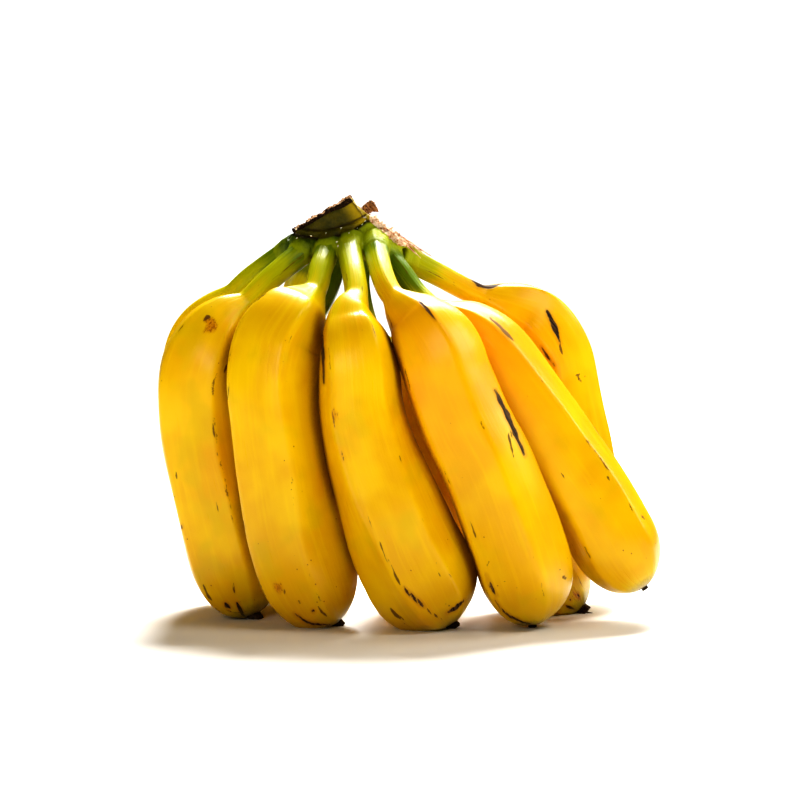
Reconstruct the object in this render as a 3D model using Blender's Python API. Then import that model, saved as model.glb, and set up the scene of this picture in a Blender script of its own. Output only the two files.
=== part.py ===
"""A hand of short, plump dessert bananas, standing on its fruit tips.

Eleven fruits grow in two rows from one cut crown: seven in the outer row, which
fans round the front, and four in the inner row, nested behind it. X runs to the
right along the hand's width, Y away from its front, Z up. The origin is on the
surface that the tips stand on, below the middle of the hand's bounding box.
"""

import math

import bmesh
import bpy
import numpy as np
from mathutils import Matrix, Vector

MM = 0.001
MIDDLE = (-0.54, -6.63)  # X and Y in mm of the hand's middle in the drawing below
FLOOR = 1.0  # Z in mm of the surface there; it presses the lowest tips flat

# Mesh fineness
SIDES = 20  # round each fruit, four for each of the five faces of its peel
NECK_RINGS = 4
SHOULDER_RINGS = 9
BELLY_RINGS = 6
TIP_RINGS = 7

# The fruit's cross-section: five faces with rounded ridges between them
FACES = 5
RIDGE_POWER = 7.0  # higher gives sharper ridges

# Sizes shared by all the fruits, in mm
STUMP_END = 12.0  # where the crown's stump ends and the fruit's own stalk begins
SLIT = 0.35  # gap between the stump and the stalk
STALK_RADIUS = 4.7
STALK_FLARE = 1.1  # extra radius where the stalk leaves the crown
FLARE_LENGTH = 9.0
SHOULDER_LENGTH = 36.0
SHOULDER_FILLET = 0.10  # share of the shoulder spent turning out of the stalk
SHOULDER_ROUNDNESS = 2.2
TIP_BLUNTNESS = 2.3
NUB_LENGTH = 2.6  # the dried end of the flower
NUB_RADIUS = 3.1

# Each fruit: the line that its middle follows, from inside the crown to the tip;
# where its shoulder starts along that line; its radius below the shoulder and at
# the belly; how long its tip takes to close; and the direction that one of its
# ridges faces halfway along, in degrees round Z from +X.
FRUITS = {
    "banana_outer_1": dict(
        route=[(-47, 3, 155), (-52, 7, 152), (-61, 10, 146), (-70, 13, 139), (-79, 16, 129),
               (-85, 18, 118), (-88, 19, 104), (-87, 19, 89), (-85, 19, 68), (-81, 18.6, 42),
               (-75, 16.8, 21), (-69, 13, 3)],
        shoulder=35, upper=16.5, belly=17.5, tip=25, ridge=200),
    "banana_outer_2": dict(
        route=[(-44, -2, 157), (-46, -7, 152), (-52, -12, 147), (-59, -16, 141), (-67, -19, 133),
               (-75, -21, 126), (-81, -22, 117), (-86, -22, 103), (-86.5, -22, 90), (-84, -21.5, 71),
               (-79.5, -21, 51), (-74.2, -19.7, 30), (-69, -19.7, 12), (-64, -21, 0)],
        shoulder=38, upper=18.0, belly=19.2, tip=28, ridge=214),
    "banana_outer_3": dict(
        route=[(-34, -6, 157), (-35, -14, 152), (-37, -24, 146), (-39, -32, 138), (-44, -38, 131),
               (-49, -43, 125), (-54, -45, 116), (-56.5, -47, 102), (-55, -48, 86), (-52, -48, 66),
               (-48.5, -47, 45), (-43, -46, 27), (-37, -44, 13), (-29.5, -41, 0.3)],
        shoulder=33, upper=18.0, belly=19.5, tip=31, ridge=281),
    "banana_outer_4": dict(
        route=[(-25, -8, 157), (-25, -18, 153), (-23, -34, 144), (-22, -44, 136), (-24, -49, 130),
               (-24, -52, 124), (-22.2, -56.4, 116), (-21, -57.8, 107), (-20, -58, 91), (-16, -58, 74),
               (-12, -58, 62), (-7.5, -58, 50), (-2.2, -56, 36), (3.2, -53, 25), (10, -50, 13),
               (17.5, -47.5, 1)],
        shoulder=42, upper=14.8, belly=21.8, tip=27, ridge=241),
    "banana_outer_5": dict(
        route=[(-15, -8, 157), (-14, -17, 153), (-12, -31, 145), (-9, -40, 138), (-4, -45, 132),
               (2, -48, 126), (6.7, -51.4, 120), (11.2, -52.8, 112), (14.6, -53.6, 102), (21, -54, 86),
               (29, -54, 70), (37, -54, 50), (43, -52, 33), (47, -49, 19), (50, -46, 0)],
        shoulder=41, upper=17.0, belly=19.4, tip=28, ridge=293),
    "banana_outer_6": dict(
        route=[(-10, -4, 154), (-8, -9, 149), (-4, -13, 144), (3, -18, 135), (13, -21, 126.5),
               (23, -23, 120), (32.4, -24.2, 111), (43.4, -25.1, 96.5), (60, -26, 73), (75, -27, 51),
               (84, -28, 35), (91, -28, 23), (98, -28, 13)],
        shoulder=34, upper=16.3, belly=18.2, tip=25, ridge=312),
    "banana_outer_7": dict(
        route=[(-5, 3, 151.5), (0, 6, 149.2), (13, 10, 142.4), (25, 14, 136), (38, 19, 130), (47, 23, 125),
               (54, 25, 118), (60, 27.6, 108), (63, 28.6, 97), (66.5, 28, 80), (70, 28, 63), (74, 29, 41),
               (78, 30, 26), (83, 30, 15)],
        shoulder=40, upper=16.5, belly=17.5, tip=25, ridge=270),
    "banana_inner_1": dict(
        route=[(-39, 12, 156), (-42, 20, 150), (-46, 28, 143), (-50, 35, 135), (-53, 41, 123),
               (-54, 45, 109), (-54, 46, 87), (-53, 46, 61), (-52, 46, 35), (-51, 45, 13),
               (-49, 43, 0)],
        shoulder=34, upper=16.0, belly=17.0, tip=25, ridge=90),
    "banana_inner_2": dict(
        route=[(-31, 8, 155), (-32, 7, 148), (-34, 4, 139), (-38, 2, 130), (-44, 0, 121),
               (-48, -1, 111), (-50, -1, 95), (-49, 0, 74), (-47, 2, 48), (-42, 6, 26), (-38, 11, 9),
               (-35, 15, 0)],
        shoulder=30, upper=16.0, belly=17.0, tip=25, ridge=250),
    "banana_inner_3": dict(
        route=[(-22, 10, 155), (-22, 8, 147), (-22, 6, 138), (-20, 4, 127), (-16, 2, 116),
               (-11, 1, 106), (-8, 1, 93), (-5, 2, 73), (-1, 5, 52), (5, 10, 30), (11, 15, 13),
               (18, 20, 0)],
        shoulder=38, upper=16.0, belly=17.0, tip=25, ridge=280),
    "banana_inner_4": dict(
        route=[(-12, 11, 153), (-8, 14, 145), (-2, 16, 134), (8, 15, 125), (19, 12, 117),
               (26, 9, 107), (31, 8, 93), (35, 7, 73), (41, 4, 52), (48, 2, 33), (56, 0, 19),
               (64, -2, 10), (74, -4, 1)],
        shoulder=34, upper=16.0, belly=17.0, tip=25, ridge=300),
}

# The crown, in mm
CUSHIONS = [  # middle and half sizes of the fleshy part that the stalks grow from
    ((-32, 1, 157), (16, 11.5, 6.5)),
    ((-20, 2, 156.5), (12.5, 11.5, 7.5)),
]
LOWER_EDGE = [  # of the cut block, seen from the front: X and Z
    (-48.4, 160.6), (-47.2, 159.9), (-45.2, 159.4), (-41, 158.9), (-36.5, 158.5), (-33, 159.2),
    (-29.5, 160.2), (-24.5, 161.8), (-20.5, 163.8), (-19, 164.8), (-17.6, 165.8)]
KNIFE_EDGE = [(-25.2, 175.6), (-31, 172.2), (-37, 168.8), (-43, 165.2), (-46.8, 163.0), (-48.4, 162.0)]
END_EDGE = [(-19, 167.4), (-21.4, 170.7)]
BLOCK_MIDDLE = 0.5  # Y of its middle
BLOCK_HALF = 12.0  # half of its depth
BLOCK_CORNER = 5.0
LIP = 0.7  # how far the skin's folded lower edge stands out from the block
LIP_BELOW, LIP_ABOVE = 0.4, 2.2
TORN_X = (-24, 1.5)
TORN_Y = (-8, 9)
TORN_SLOPE = ((-17.5, 0, 168), (0.84, 0.04, 1))  # point and normal of the plane
TORN_BASE = 154.5
SCRAP = ((-21, 1, 167.5), (-15.6, 0.5, 173.2), 1.5, 1.8)  # dried end: from, to, radii

PEEL = dict(color=(0.86, 0.58, 0.02, 1.0), roughness=0.42)
CROWN = dict(color=(0.30, 0.33, 0.05, 1.0), roughness=0.6)


def clear_scene():
    for old in list(bpy.data.objects):
        bpy.data.objects.remove(old)


def material(name, color, roughness):
    made = bpy.data.materials.new(name)
    made.use_nodes = True
    shader = made.node_tree.nodes["Principled BSDF"]
    shader.inputs["Base Color"].default_value = color
    shader.inputs["Roughness"].default_value = roughness
    shader.inputs["Metallic"].default_value = 0.0
    return made


def smooth_line(points, steps=40):
    """Points along a Catmull-Rom curve through the given ones, with the length to each."""
    p = np.array(points, float)
    p = np.vstack([2 * p[0] - p[1], p, 2 * p[-1] - p[-2]])
    t = np.linspace(0, 1, steps, endpoint=False)[:, None]
    pieces = []
    for a, b, c, d in zip(p[:-3], p[1:-2], p[2:-1], p[3:]):
        pieces.append(0.5 * (2 * b + (c - a) * t + (2 * a - 5 * b + 4 * c - d) * t**2
                             + (3 * b - a - 3 * c + d) * t**3))
    line = np.vstack(pieces + [p[-2:-1]])
    along = np.concatenate([[0], np.cumsum(np.linalg.norm(np.diff(line, axis=0), axis=1))])
    return line, along


def stations(length, start, shoulder, tip_length):
    """Distances along the route where a ring lies, closer together at the shoulder and the tip."""
    neck = np.linspace(start, shoulder, NECK_RINGS, endpoint=False)
    rise = shoulder + SHOULDER_LENGTH * np.linspace(0, 1, SHOULDER_RINGS, endpoint=False) ** 1.4
    nub = length - NUB_LENGTH
    belly = np.linspace(shoulder + SHOULDER_LENGTH, nub - tip_length, BELLY_RINGS, endpoint=False)
    turn = np.linspace(0, math.pi / 2, TIP_RINGS)
    tip = nub - tip_length * (1 - np.sin(turn))
    return np.concatenate([neck, rise, belly, tip, [nub + 0.4 * NUB_LENGTH, length]])


def mean_radius(s, length, fruit):
    """Radius of the fruit at each distance s: stalk, shoulder, belly, tip and nub."""
    stalk = STALK_RADIUS + STALK_FLARE * np.exp(-s / FLARE_LENGTH)
    x = np.clip((s - fruit["shoulder"]) / SHOULDER_LENGTH, 0, 1)
    x = x * (1 + SHOULDER_FILLET) * x / (x + SHOULDER_FILLET)
    rise = 1 - (1 - x) ** SHOULDER_ROUNDNESS
    end = length - NUB_LENGTH
    u = np.clip((s - fruit["shoulder"]) / (end - fruit["shoulder"]), 0, 1)
    swell = u * u * (3 - 2 * u)
    body = fruit["upper"] + (fruit["belly"] - fruit["upper"]) * swell
    x = np.clip(1 - (end - s) / fruit["tip"], 0, 1)
    close = np.sqrt(1 - x**TIP_BLUNTNESS)
    radius = (stalk + (body - stalk) * rise) * close
    return np.where(s > end - 1.0, np.maximum(radius, NUB_RADIUS), radius)


def section(angle):
    """Radius of the rounded five-sided section in one direction, about 1 on average."""
    centres = (np.arange(FACES) + 0.5) * 2 * math.pi / FACES
    facing = np.clip(np.cos(angle - centres), 0, None)
    return (facing**RIDGE_POWER).sum() ** (-1 / RIDGE_POWER) / 1.05


def frames(tangent, ridge):
    """Two directions across the route at each point, carried along it without twisting."""
    side = np.array([math.cos(math.radians(ridge)), math.sin(math.radians(ridge)), 0.0])
    normals = np.zeros_like(tangent)
    start = len(tangent) // 2
    for order in (range(start, len(tangent)), range(start, -1, -1)):
        carried = side
        for i in order:
            carried = carried - tangent[i] * (carried @ tangent[i])
            carried = carried / np.linalg.norm(carried)
            normals[i] = carried
    return normals, np.cross(tangent, normals)


def along_route(fruit):
    """Tables of the route's points, lengths and the two directions across it."""
    line, along = smooth_line(fruit["route"])
    step = np.arange(0.0, along[-1] + 0.5, 0.5)
    middle = np.stack([np.interp(step, along, line[:, k]) for k in range(3)], axis=1)
    tangent = np.gradient(middle, axis=0)
    tangent[-1] = tangent[-2] = tangent[-3]
    tangent /= np.linalg.norm(tangent, axis=1)[:, None]
    normal, across = frames(tangent, fruit["ridge"])
    return step, middle, normal, across, along[-1]


def add_object(name, bm, collection, look):
    """Turn the bmesh, drawn in mm, into an object in metres with the hand's middle at the origin."""
    bmesh.ops.translate(bm, vec=(-MIDDLE[0], -MIDDLE[1], -FLOOR), verts=bm.verts)
    bmesh.ops.scale(bm, vec=(MM, MM, MM), verts=bm.verts)
    bmesh.ops.recalc_face_normals(bm, faces=bm.faces)
    mesh = bpy.data.meshes.new(name)
    bm.to_mesh(mesh)
    bm.free()
    mesh.shade_smooth()
    mesh.materials.append(look)
    made = bpy.data.objects.new(name, mesh)
    collection.objects.link(made)
    return made


def loft(name, fruit, distances, collection, look):
    """A closed solid through rings across the fruit's route: a sphere whose rings are moved there."""
    step, middle, normal, across, length = fruit["track"]
    rings = len(distances)
    radius = mean_radius(distances, length, fruit)
    centre, outward, sideways = [
        np.stack([np.interp(distances, step, table[:, k]) for k in range(3)], axis=1)
        for table in (middle, normal, across)]
    bm = bmesh.new()
    bmesh.ops.create_uvsphere(bm, u_segments=SIDES, v_segments=rings + 1, radius=1.0)
    for v in bm.verts:
        ring = round(math.acos(max(-1.0, min(1.0, v.co.z))) / math.pi * (rings + 1)) - 1
        if ring < 0 or ring >= rings:
            v.co = centre[0 if ring < 0 else -1]
            continue
        angle = math.atan2(v.co.y, v.co.x)
        reach = radius[ring] * section(angle)
        v.co = centre[ring] + reach * (math.cos(angle) * outward[ring] + math.sin(angle) * sideways[ring])
    for v in bm.verts:
        v.co.z = max(v.co.z, FLOOR)
    return add_object(name, bm, collection, look)


def cut_above(bm, point, normal):
    """Slice the bmesh with a plane and close it, dropping what lies above."""
    geometry = bm.verts[:] + bm.edges[:] + bm.faces[:]
    sliced = bmesh.ops.bisect_plane(bm, geom=geometry, plane_co=point, plane_no=normal, clear_outer=True)
    edges = [item for item in sliced["geom_cut"] if isinstance(item, bmesh.types.BMEdge)]
    bmesh.ops.holes_fill(bm, edges=edges)


def rounded_box(x, y, z, corner):
    """A bmesh box with its upright edges rounded."""
    bm = bmesh.new()
    bmesh.ops.create_cube(bm, size=1.0)
    bmesh.ops.scale(bm, vec=(x[1] - x[0], y[1] - y[0], z[1] - z[0]), verts=bm.verts)
    bmesh.ops.translate(bm, vec=((x[0] + x[1]) / 2, (y[0] + y[1]) / 2, (z[0] + z[1]) / 2), verts=bm.verts)
    upright = [e for e in bm.edges if abs(e.verts[0].co.z - e.verts[1].co.z) > 0.5 * (z[1] - z[0])]
    bmesh.ops.bevel(bm, geom=upright, offset=corner, segments=4, profile=0.5, affect="EDGES")
    return bm


def slab(outline, half):
    """A closed solid with this outline seen from the front; its depth rounds off at both ends."""
    bm = bmesh.new()
    bmesh.ops.create_circle(bm, cap_ends=True, segments=len(outline), radius=1.0)
    front = next(iter(bm.faces))
    for v, (x, z) in zip(front.verts[:], outline):
        v.co = (x, -1.0, z)
    back = bmesh.ops.extrude_face_region(bm, geom=[front], use_keep_orig=True)
    for item in back["geom"]:
        if isinstance(item, bmesh.types.BMVert):
            item.co.y = 1.0
    left = min(x for x, z in outline)
    right = max(x for x, z in outline)
    for v in bm.verts:
        inside = min(v.co.x - left, right - v.co.x)
        short = max(0.0, 1 - inside / BLOCK_CORNER)
        depth = half - BLOCK_CORNER * (1 - math.sqrt(1 - 0.96 * short * short))
        v.co.y = BLOCK_MIDDLE + v.co.y * depth
    bmesh.ops.triangulate(bm, faces=bm.faces)
    return bm


def crown_pieces(look, pieces):
    """The cushion, the cut block with its lip, the torn end and the dried scrap, to be joined."""
    for i, (middle, half) in enumerate(CUSHIONS):
        bm = bmesh.new()
        bmesh.ops.create_uvsphere(bm, u_segments=20, v_segments=10, radius=1.0)
        bmesh.ops.scale(bm, vec=half, verts=bm.verts)
        bmesh.ops.translate(bm, vec=middle, verts=bm.verts)
        add_object(f"cushion_{i + 1}", bm, pieces, look)

    add_object("cut_block", slab(LOWER_EDGE + END_EDGE + KNIFE_EDGE, BLOCK_HALF), pieces, look)
    middle = (LOWER_EDGE[0][0] + LOWER_EDGE[-1][0]) / 2
    wider = 1 + LIP / (LOWER_EDGE[-1][0] - middle)
    band = [(middle + (x - middle) * wider, z) for x, z in LOWER_EDGE]
    around = [(x, z - LIP_BELOW) for x, z in band] + [(x, z + LIP_ABOVE) for x, z in band[::-1]]
    add_object("lip", slab(around, BLOCK_HALF + LIP), pieces, look)

    torn = rounded_box(TORN_X, TORN_Y, (TORN_BASE, 190), 3.0)
    cut_above(torn, *TORN_SLOPE)
    add_object("torn_end", torn, pieces, look)

    start, end = Vector(SCRAP[0]), Vector(SCRAP[1])
    scrap = bmesh.new()
    bmesh.ops.create_cone(scrap, cap_ends=True, segments=8, radius1=SCRAP[2], radius2=SCRAP[3],
                          depth=(end - start).length)
    turn = (end - start).to_track_quat("Z", "Y").to_matrix().to_4x4()
    bmesh.ops.transform(scrap, matrix=Matrix.Translation((start + end) / 2) @ turn, verts=scrap.verts)
    add_object("dried_scrap", scrap, pieces, look)


def build():
    clear_scene()
    hand = bpy.data.collections.new("banana_hand")
    pieces = bpy.data.collections.new("crown_pieces")
    for collection in (hand, pieces):
        bpy.context.scene.collection.children.link(collection)
    peel = material("peel", **PEEL)
    crown_look = material("crown", **CROWN)

    for name, fruit in FRUITS.items():
        fruit["track"] = along_route(fruit)
        length = fruit["track"][-1]
        rings = stations(length, STUMP_END + SLIT, fruit["shoulder"], fruit["tip"])
        loft(name, fruit, rings, hand, peel)
        loft("stump_of_" + name, fruit, np.linspace(0, STUMP_END, 4), pieces, crown_look)

    crown_pieces(crown_look, pieces)
    for piece in pieces.objects:
        piece.hide_render = True
        piece.display_type = "WIRE"
    core = rounded_box((-46, -10.5), (-5, 7), (153.5, 160.5), 2.0)
    crown = add_object("crown", core, hand, crown_look)
    join = crown.modifiers.new("join", "BOOLEAN")
    join.operation = "UNION"
    join.solver = "EXACT"
    join.operand_type = "COLLECTION"
    join.collection = pieces


build()
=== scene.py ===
# %% [markdown]
# # A hand of bananas, standing on its tips
#
# A hand is one tier of a banana bunch, cut off with a knife. This one has eleven short, plump
# fruits in two rows that grow from one green crown. The CAD model has the same twelve pieces as
# faceted solids. This lesson gives each of them a fine skin: a fruit's ridges, stalk and dried
# flower end, the scars and specks of a ripe peel, and the crown's cut and torn tissue.
#
# The first cell loads the CAD model and keeps its box, so that the fine skin can be compared with it.

# %% Load the model
import math

import bmesh
import bpy
import numpy as np
from mathutils import Matrix, Vector
from mathutils.bvhtree import BVHTree


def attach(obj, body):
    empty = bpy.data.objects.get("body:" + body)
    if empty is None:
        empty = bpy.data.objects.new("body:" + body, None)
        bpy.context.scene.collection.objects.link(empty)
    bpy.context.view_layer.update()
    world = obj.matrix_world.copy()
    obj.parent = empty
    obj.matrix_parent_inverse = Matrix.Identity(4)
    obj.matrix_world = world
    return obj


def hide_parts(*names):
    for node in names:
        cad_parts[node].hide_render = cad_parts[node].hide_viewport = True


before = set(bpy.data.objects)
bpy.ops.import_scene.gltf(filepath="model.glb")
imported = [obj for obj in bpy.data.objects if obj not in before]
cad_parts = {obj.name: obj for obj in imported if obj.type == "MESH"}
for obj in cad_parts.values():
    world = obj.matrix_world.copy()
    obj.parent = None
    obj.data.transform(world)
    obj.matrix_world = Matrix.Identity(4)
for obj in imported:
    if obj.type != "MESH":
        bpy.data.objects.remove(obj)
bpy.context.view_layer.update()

MM = 0.001

# %% [markdown]
# ## The camera
#
# The camera comes first, because the marks on the peel are drawn on its picture. The photo was
# taken from a little above the table, with a long lens: the fruits in front are hardly larger
# than those behind. A lens of 139 mm from 1.3 m away shows 0.42 mm of the hand in each of the
# 800 points across the picture.

# %% Set up the camera
AIM = Vector((-0.0037, 0.0065, 0.0895))
DISTANCE = 1.3
ELEVATION = math.radians(4.0)
POINTS = 800
MM_PER_POINT = 0.42

camera_data = bpy.data.cameras.new("studio_camera")
camera_data.sensor_width = 36.0
camera_data.lens = camera_data.sensor_width * DISTANCE / (POINTS * MM_PER_POINT * MM)
camera = bpy.data.objects.new("studio_camera", camera_data)
bpy.context.scene.collection.objects.link(camera)
camera.location = AIM + Vector((0, -math.cos(ELEVATION), math.sin(ELEVATION))) * DISTANCE
camera.rotation_euler = (AIM - camera.location).to_track_quat("-Z", "Y").to_euler()
bpy.context.scene.camera = camera


def picture_place(points):
    """Where points in metres lie on the picture: across from its left, and down from its top."""
    forward = np.array((0, math.cos(ELEVATION), -math.sin(ELEVATION)))
    up = np.array((0, math.sin(ELEVATION), math.cos(ELEVATION)))
    away = points - np.array(camera.location)
    scale = DISTANCE / (MM_PER_POINT * MM) / (away @ forward)
    return np.stack([POINTS / 2 + away[:, 0] * scale, POINTS / 2 - (away @ up) * scale], axis=1)


print(f"lens {camera_data.lens:.1f} mm")

# %% [markdown]
# ## The fruits' courses and sizes
#
# Each banana is drawn like a bent tube: a line that its middle follows, and a radius for each
# distance along that line. The numbers are millimetres in a drawing of the hand, from inside the
# crown to the tip. A fruit has a shoulder, where the stalk widens into the body, a radius below
# the shoulder and at the belly, and the length over which its tip closes. Its peel has five faces,
# so it also has a direction that one of the five ridges faces, in degrees round the vertical.
# These are the same numbers as in the CAD model, so the skin lies where the solids lie.

# %% Name the fruits
MIDDLE = np.array((-0.54, -6.63, 1.0))  # this point of the drawing is the origin on the table

FRUITS = {
    "banana_outer_1": dict(
        route=[(-47, 3, 155), (-52, 7, 152), (-61, 10, 146), (-70, 13, 139), (-79, 16, 129),
               (-85, 18, 118), (-88, 19, 104), (-87, 19, 89), (-85, 19, 68), (-81, 18.6, 42),
               (-75, 16.8, 21), (-69, 13, 3)],
        shoulder=35, upper=16.5, belly=17.5, tip=25, ridge=200),
    "banana_outer_2": dict(
        route=[(-44, -2, 157), (-46, -7, 152), (-52, -12, 147), (-59, -16, 141), (-67, -19, 133),
               (-75, -21, 126), (-81, -22, 117), (-86, -22, 103), (-86.5, -22, 90), (-84, -21.5, 71),
               (-79.5, -21, 51), (-74.2, -19.7, 30), (-69, -19.7, 12), (-64, -21, 0)],
        shoulder=38, upper=18.0, belly=19.2, tip=28, ridge=214),
    "banana_outer_3": dict(
        route=[(-34, -6, 157), (-35, -14, 152), (-37, -24, 146), (-39, -32, 138), (-44, -38, 131),
               (-49, -43, 125), (-54, -45, 116), (-56.5, -47, 102), (-55, -48, 86), (-52, -48, 66),
               (-48.5, -47, 45), (-43, -46, 27), (-37, -44, 13), (-29.5, -41, 0.3)],
        shoulder=33, upper=18.0, belly=19.5, tip=31, ridge=281),
    "banana_outer_4": dict(
        route=[(-25, -8, 157), (-25, -18, 153), (-23, -34, 144), (-22, -44, 136), (-24, -49, 130),
               (-24, -52, 124), (-22.2, -56.4, 116), (-21, -57.8, 107), (-20, -58, 91), (-16, -58, 74),
               (-12, -58, 62), (-7.5, -58, 50), (-2.2, -56, 36), (3.2, -53, 25), (10, -50, 13),
               (17.5, -47.5, 1)],
        shoulder=42, upper=14.8, belly=21.8, tip=27, ridge=241),
    "banana_outer_5": dict(
        route=[(-15, -8, 157), (-14, -17, 153), (-12, -31, 145), (-9, -40, 138), (-4, -45, 132),
               (2, -48, 126), (6.7, -51.4, 120), (11.2, -52.8, 112), (14.6, -53.6, 102), (21, -54, 86),
               (29, -54, 70), (37, -54, 50), (43, -52, 33), (47, -49, 19), (50, -46, 0)],
        shoulder=41, upper=17.0, belly=19.4, tip=28, ridge=293),
    "banana_outer_6": dict(
        route=[(-10, -4, 154), (-8, -9, 149), (-4, -13, 144), (3, -18, 135), (13, -21, 126.5),
               (23, -23, 120), (32.4, -24.2, 111), (43.4, -25.1, 96.5), (60, -26, 73), (75, -27, 51),
               (84, -28, 35), (91, -28, 23), (98, -28, 13)],
        shoulder=34, upper=16.3, belly=18.2, tip=25, ridge=312),
    "banana_outer_7": dict(
        route=[(-5, 3, 151.5), (0, 6, 149.2), (13, 10, 142.4), (25, 14, 136), (38, 19, 130), (47, 23, 125),
               (54, 25, 118), (60, 27.6, 108), (63, 28.6, 97), (66.5, 28, 80), (70, 28, 63), (74, 29, 41),
               (78, 30, 26), (83, 30, 15)],
        shoulder=40, upper=16.5, belly=17.5, tip=25, ridge=270),
    "banana_inner_1": dict(
        route=[(-39, 12, 156), (-42, 20, 150), (-46, 28, 143), (-50, 35, 135), (-53, 41, 123),
               (-54, 45, 109), (-54, 46, 87), (-53, 46, 61), (-52, 46, 35), (-51, 45, 13),
               (-49, 43, 0)],
        shoulder=34, upper=16.0, belly=17.0, tip=25, ridge=90),
    "banana_inner_2": dict(
        route=[(-31, 8, 155), (-32, 7, 148), (-34, 4, 139), (-38, 2, 130), (-44, 0, 121),
               (-48, -1, 111), (-50, -1, 95), (-49, 0, 74), (-47, 2, 48), (-42, 6, 26), (-38, 11, 9),
               (-35, 15, 0)],
        shoulder=30, upper=16.0, belly=17.0, tip=25, ridge=250),
    "banana_inner_3": dict(
        route=[(-22, 10, 155), (-22, 8, 147), (-22, 6, 138), (-20, 4, 127), (-16, 2, 116),
               (-11, 1, 106), (-8, 1, 93), (-5, 2, 73), (-1, 5, 52), (5, 10, 30), (11, 15, 13),
               (18, 20, 0)],
        shoulder=38, upper=16.0, belly=17.0, tip=25, ridge=280),
    "banana_inner_4": dict(
        route=[(-12, 11, 153), (-8, 14, 145), (-2, 16, 134), (8, 15, 125), (19, 12, 117),
               (26, 9, 107), (31, 8, 93), (35, 7, 73), (41, 4, 52), (48, 2, 33), (56, 0, 19),
               (64, -2, 10), (74, -4, 1)],
        shoulder=34, upper=16.0, belly=17.0, tip=25, ridge=300),
}
print(len(FRUITS), "fruits")

# %% [markdown]
# ## From a course to a smooth line
#
# The few points of a course are joined by a curve that passes through all of them. Then two
# directions across it are carried along from its middle, without twisting, so that a ridge stays
# on its own side of the fruit from the stalk to the tip.

# %% Follow each course
def smooth_line(points, steps=40):
    """Points along a Catmull-Rom curve through the given ones, with the length to each."""
    p = np.array(points, float)
    p = np.vstack([2 * p[0] - p[1], p, 2 * p[-1] - p[-2]])
    t = np.linspace(0, 1, steps, endpoint=False)[:, None]
    pieces = []
    for a, b, c, d in zip(p[:-3], p[1:-2], p[2:-1], p[3:]):
        pieces.append(0.5 * (2 * b + (c - a) * t + (2 * a - 5 * b + 4 * c - d) * t**2
                             + (3 * b - a - 3 * c + d) * t**3))
    line = np.vstack(pieces + [p[-2:-1]])
    along = np.concatenate([[0], np.cumsum(np.linalg.norm(np.diff(line, axis=0), axis=1))])
    return line, along


def follow(fruit):
    """Tables along the fruit's course: distance, middle, two directions across, whole length."""
    line, along = smooth_line(fruit["route"])
    step = np.arange(0.0, along[-1] + 0.5, 0.5)
    middle = np.stack([np.interp(step, along, line[:, k]) for k in range(3)], axis=1)
    tangent = np.gradient(middle, axis=0)
    tangent[-1] = tangent[-2] = tangent[-3]
    tangent /= np.linalg.norm(tangent, axis=1)[:, None]
    ridge = math.radians(fruit["ridge"])
    normals = np.zeros_like(tangent)
    start = len(tangent) // 2
    for order in (range(start, len(tangent)), range(start, -1, -1)):
        carried = np.array([math.cos(ridge), math.sin(ridge), 0.0])
        for i in order:
            carried = carried - tangent[i] * (carried @ tangent[i])
            carried = carried / np.linalg.norm(carried)
            normals[i] = carried
    return step, middle, normals, np.cross(tangent, normals), along[-1]


for name, fruit in FRUITS.items():
    fruit["track"] = follow(fruit)
    print(f"{name}: {fruit['track'][-1]:.0f} mm from the crown's middle to the tip")

# %% [markdown]
# ## The shape of one banana
#
# A banana is thin at the stalk, turns out quickly at the shoulder, swells slowly to the belly and
# closes over the tip, where the dried end of the flower sits as a short dark nub. Round the fruit,
# five flat faces meet in rounded ridges. The radius is the product of those two rules, with a
# little more on top: narrow crests on the ridges, slow waves so that no face is perfectly even,
# and fine grooves along the stalk. One formula for the whole skin keeps every fruit alike in kind
# and different in detail.

# %% Shape rules
STALK_RADIUS = 4.7
STALK_FLARE = 1.1
FLARE_LENGTH = 9.0
SHOULDER_LENGTH = 36.0
SHOULDER_FILLET = 0.10
SHOULDER_ROUNDNESS = 2.2
TIP_BLUNTNESS = 2.3
NUB_LENGTH = 2.6
NUB_RADIUS = 3.1
FACES = 5
RIDGE_POWER = 18.0  # of the five-sided part of the section: higher gives crisper ridges
ROUND_SHARE, FLAT_SHARE = 0.356, 0.602  # of a circle and of the five sides in the section
CREST = 0.16  # how far the crest of a ridge stands up
CREST_WIDTH = 1.5
WAVE = 0.28  # depth of the slow waves in the faces


def mean_radius(s, length, fruit):
    """Radius at each distance s from the crown's middle, before the ridges."""
    stalk = STALK_RADIUS + STALK_FLARE * np.exp(-s / FLARE_LENGTH)
    x = np.clip((s - fruit["shoulder"]) / SHOULDER_LENGTH, 0, 1)
    x = x * (1 + SHOULDER_FILLET) * x / (x + SHOULDER_FILLET)
    rise = 1 - (1 - x) ** SHOULDER_ROUNDNESS
    end = length - NUB_LENGTH
    u = np.clip((s - fruit["shoulder"]) / (end - fruit["shoulder"]), 0, 1)
    body = fruit["upper"] + (fruit["belly"] - fruit["upper"]) * u * u * (3 - 2 * u)
    x = np.clip(1 - (end - s) / fruit["tip"], 0, 1)
    return (stalk + (body - stalk) * rise) * np.sqrt(1 - x**TIP_BLUNTNESS)


def five_sided(angle):
    """Radius of the rounded five-sided section in each direction, about 1 on average."""
    centres = (np.arange(FACES) + 0.5) * 2 * math.pi / FACES
    facing = np.clip(np.cos(angle[..., None] - centres), 0, None)
    sides = (facing**RIDGE_POWER).sum(axis=-1) ** (-1 / RIDGE_POWER)
    return ROUND_SHARE + FLAT_SHARE * sides


def step_up(x, start, end):
    """0 below start, 1 above end, and smooth between; start may be the higher of the two."""
    t = np.clip((x - start) / (end - start), 0, 1)
    return t * t * (3 - 2 * t)


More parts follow.
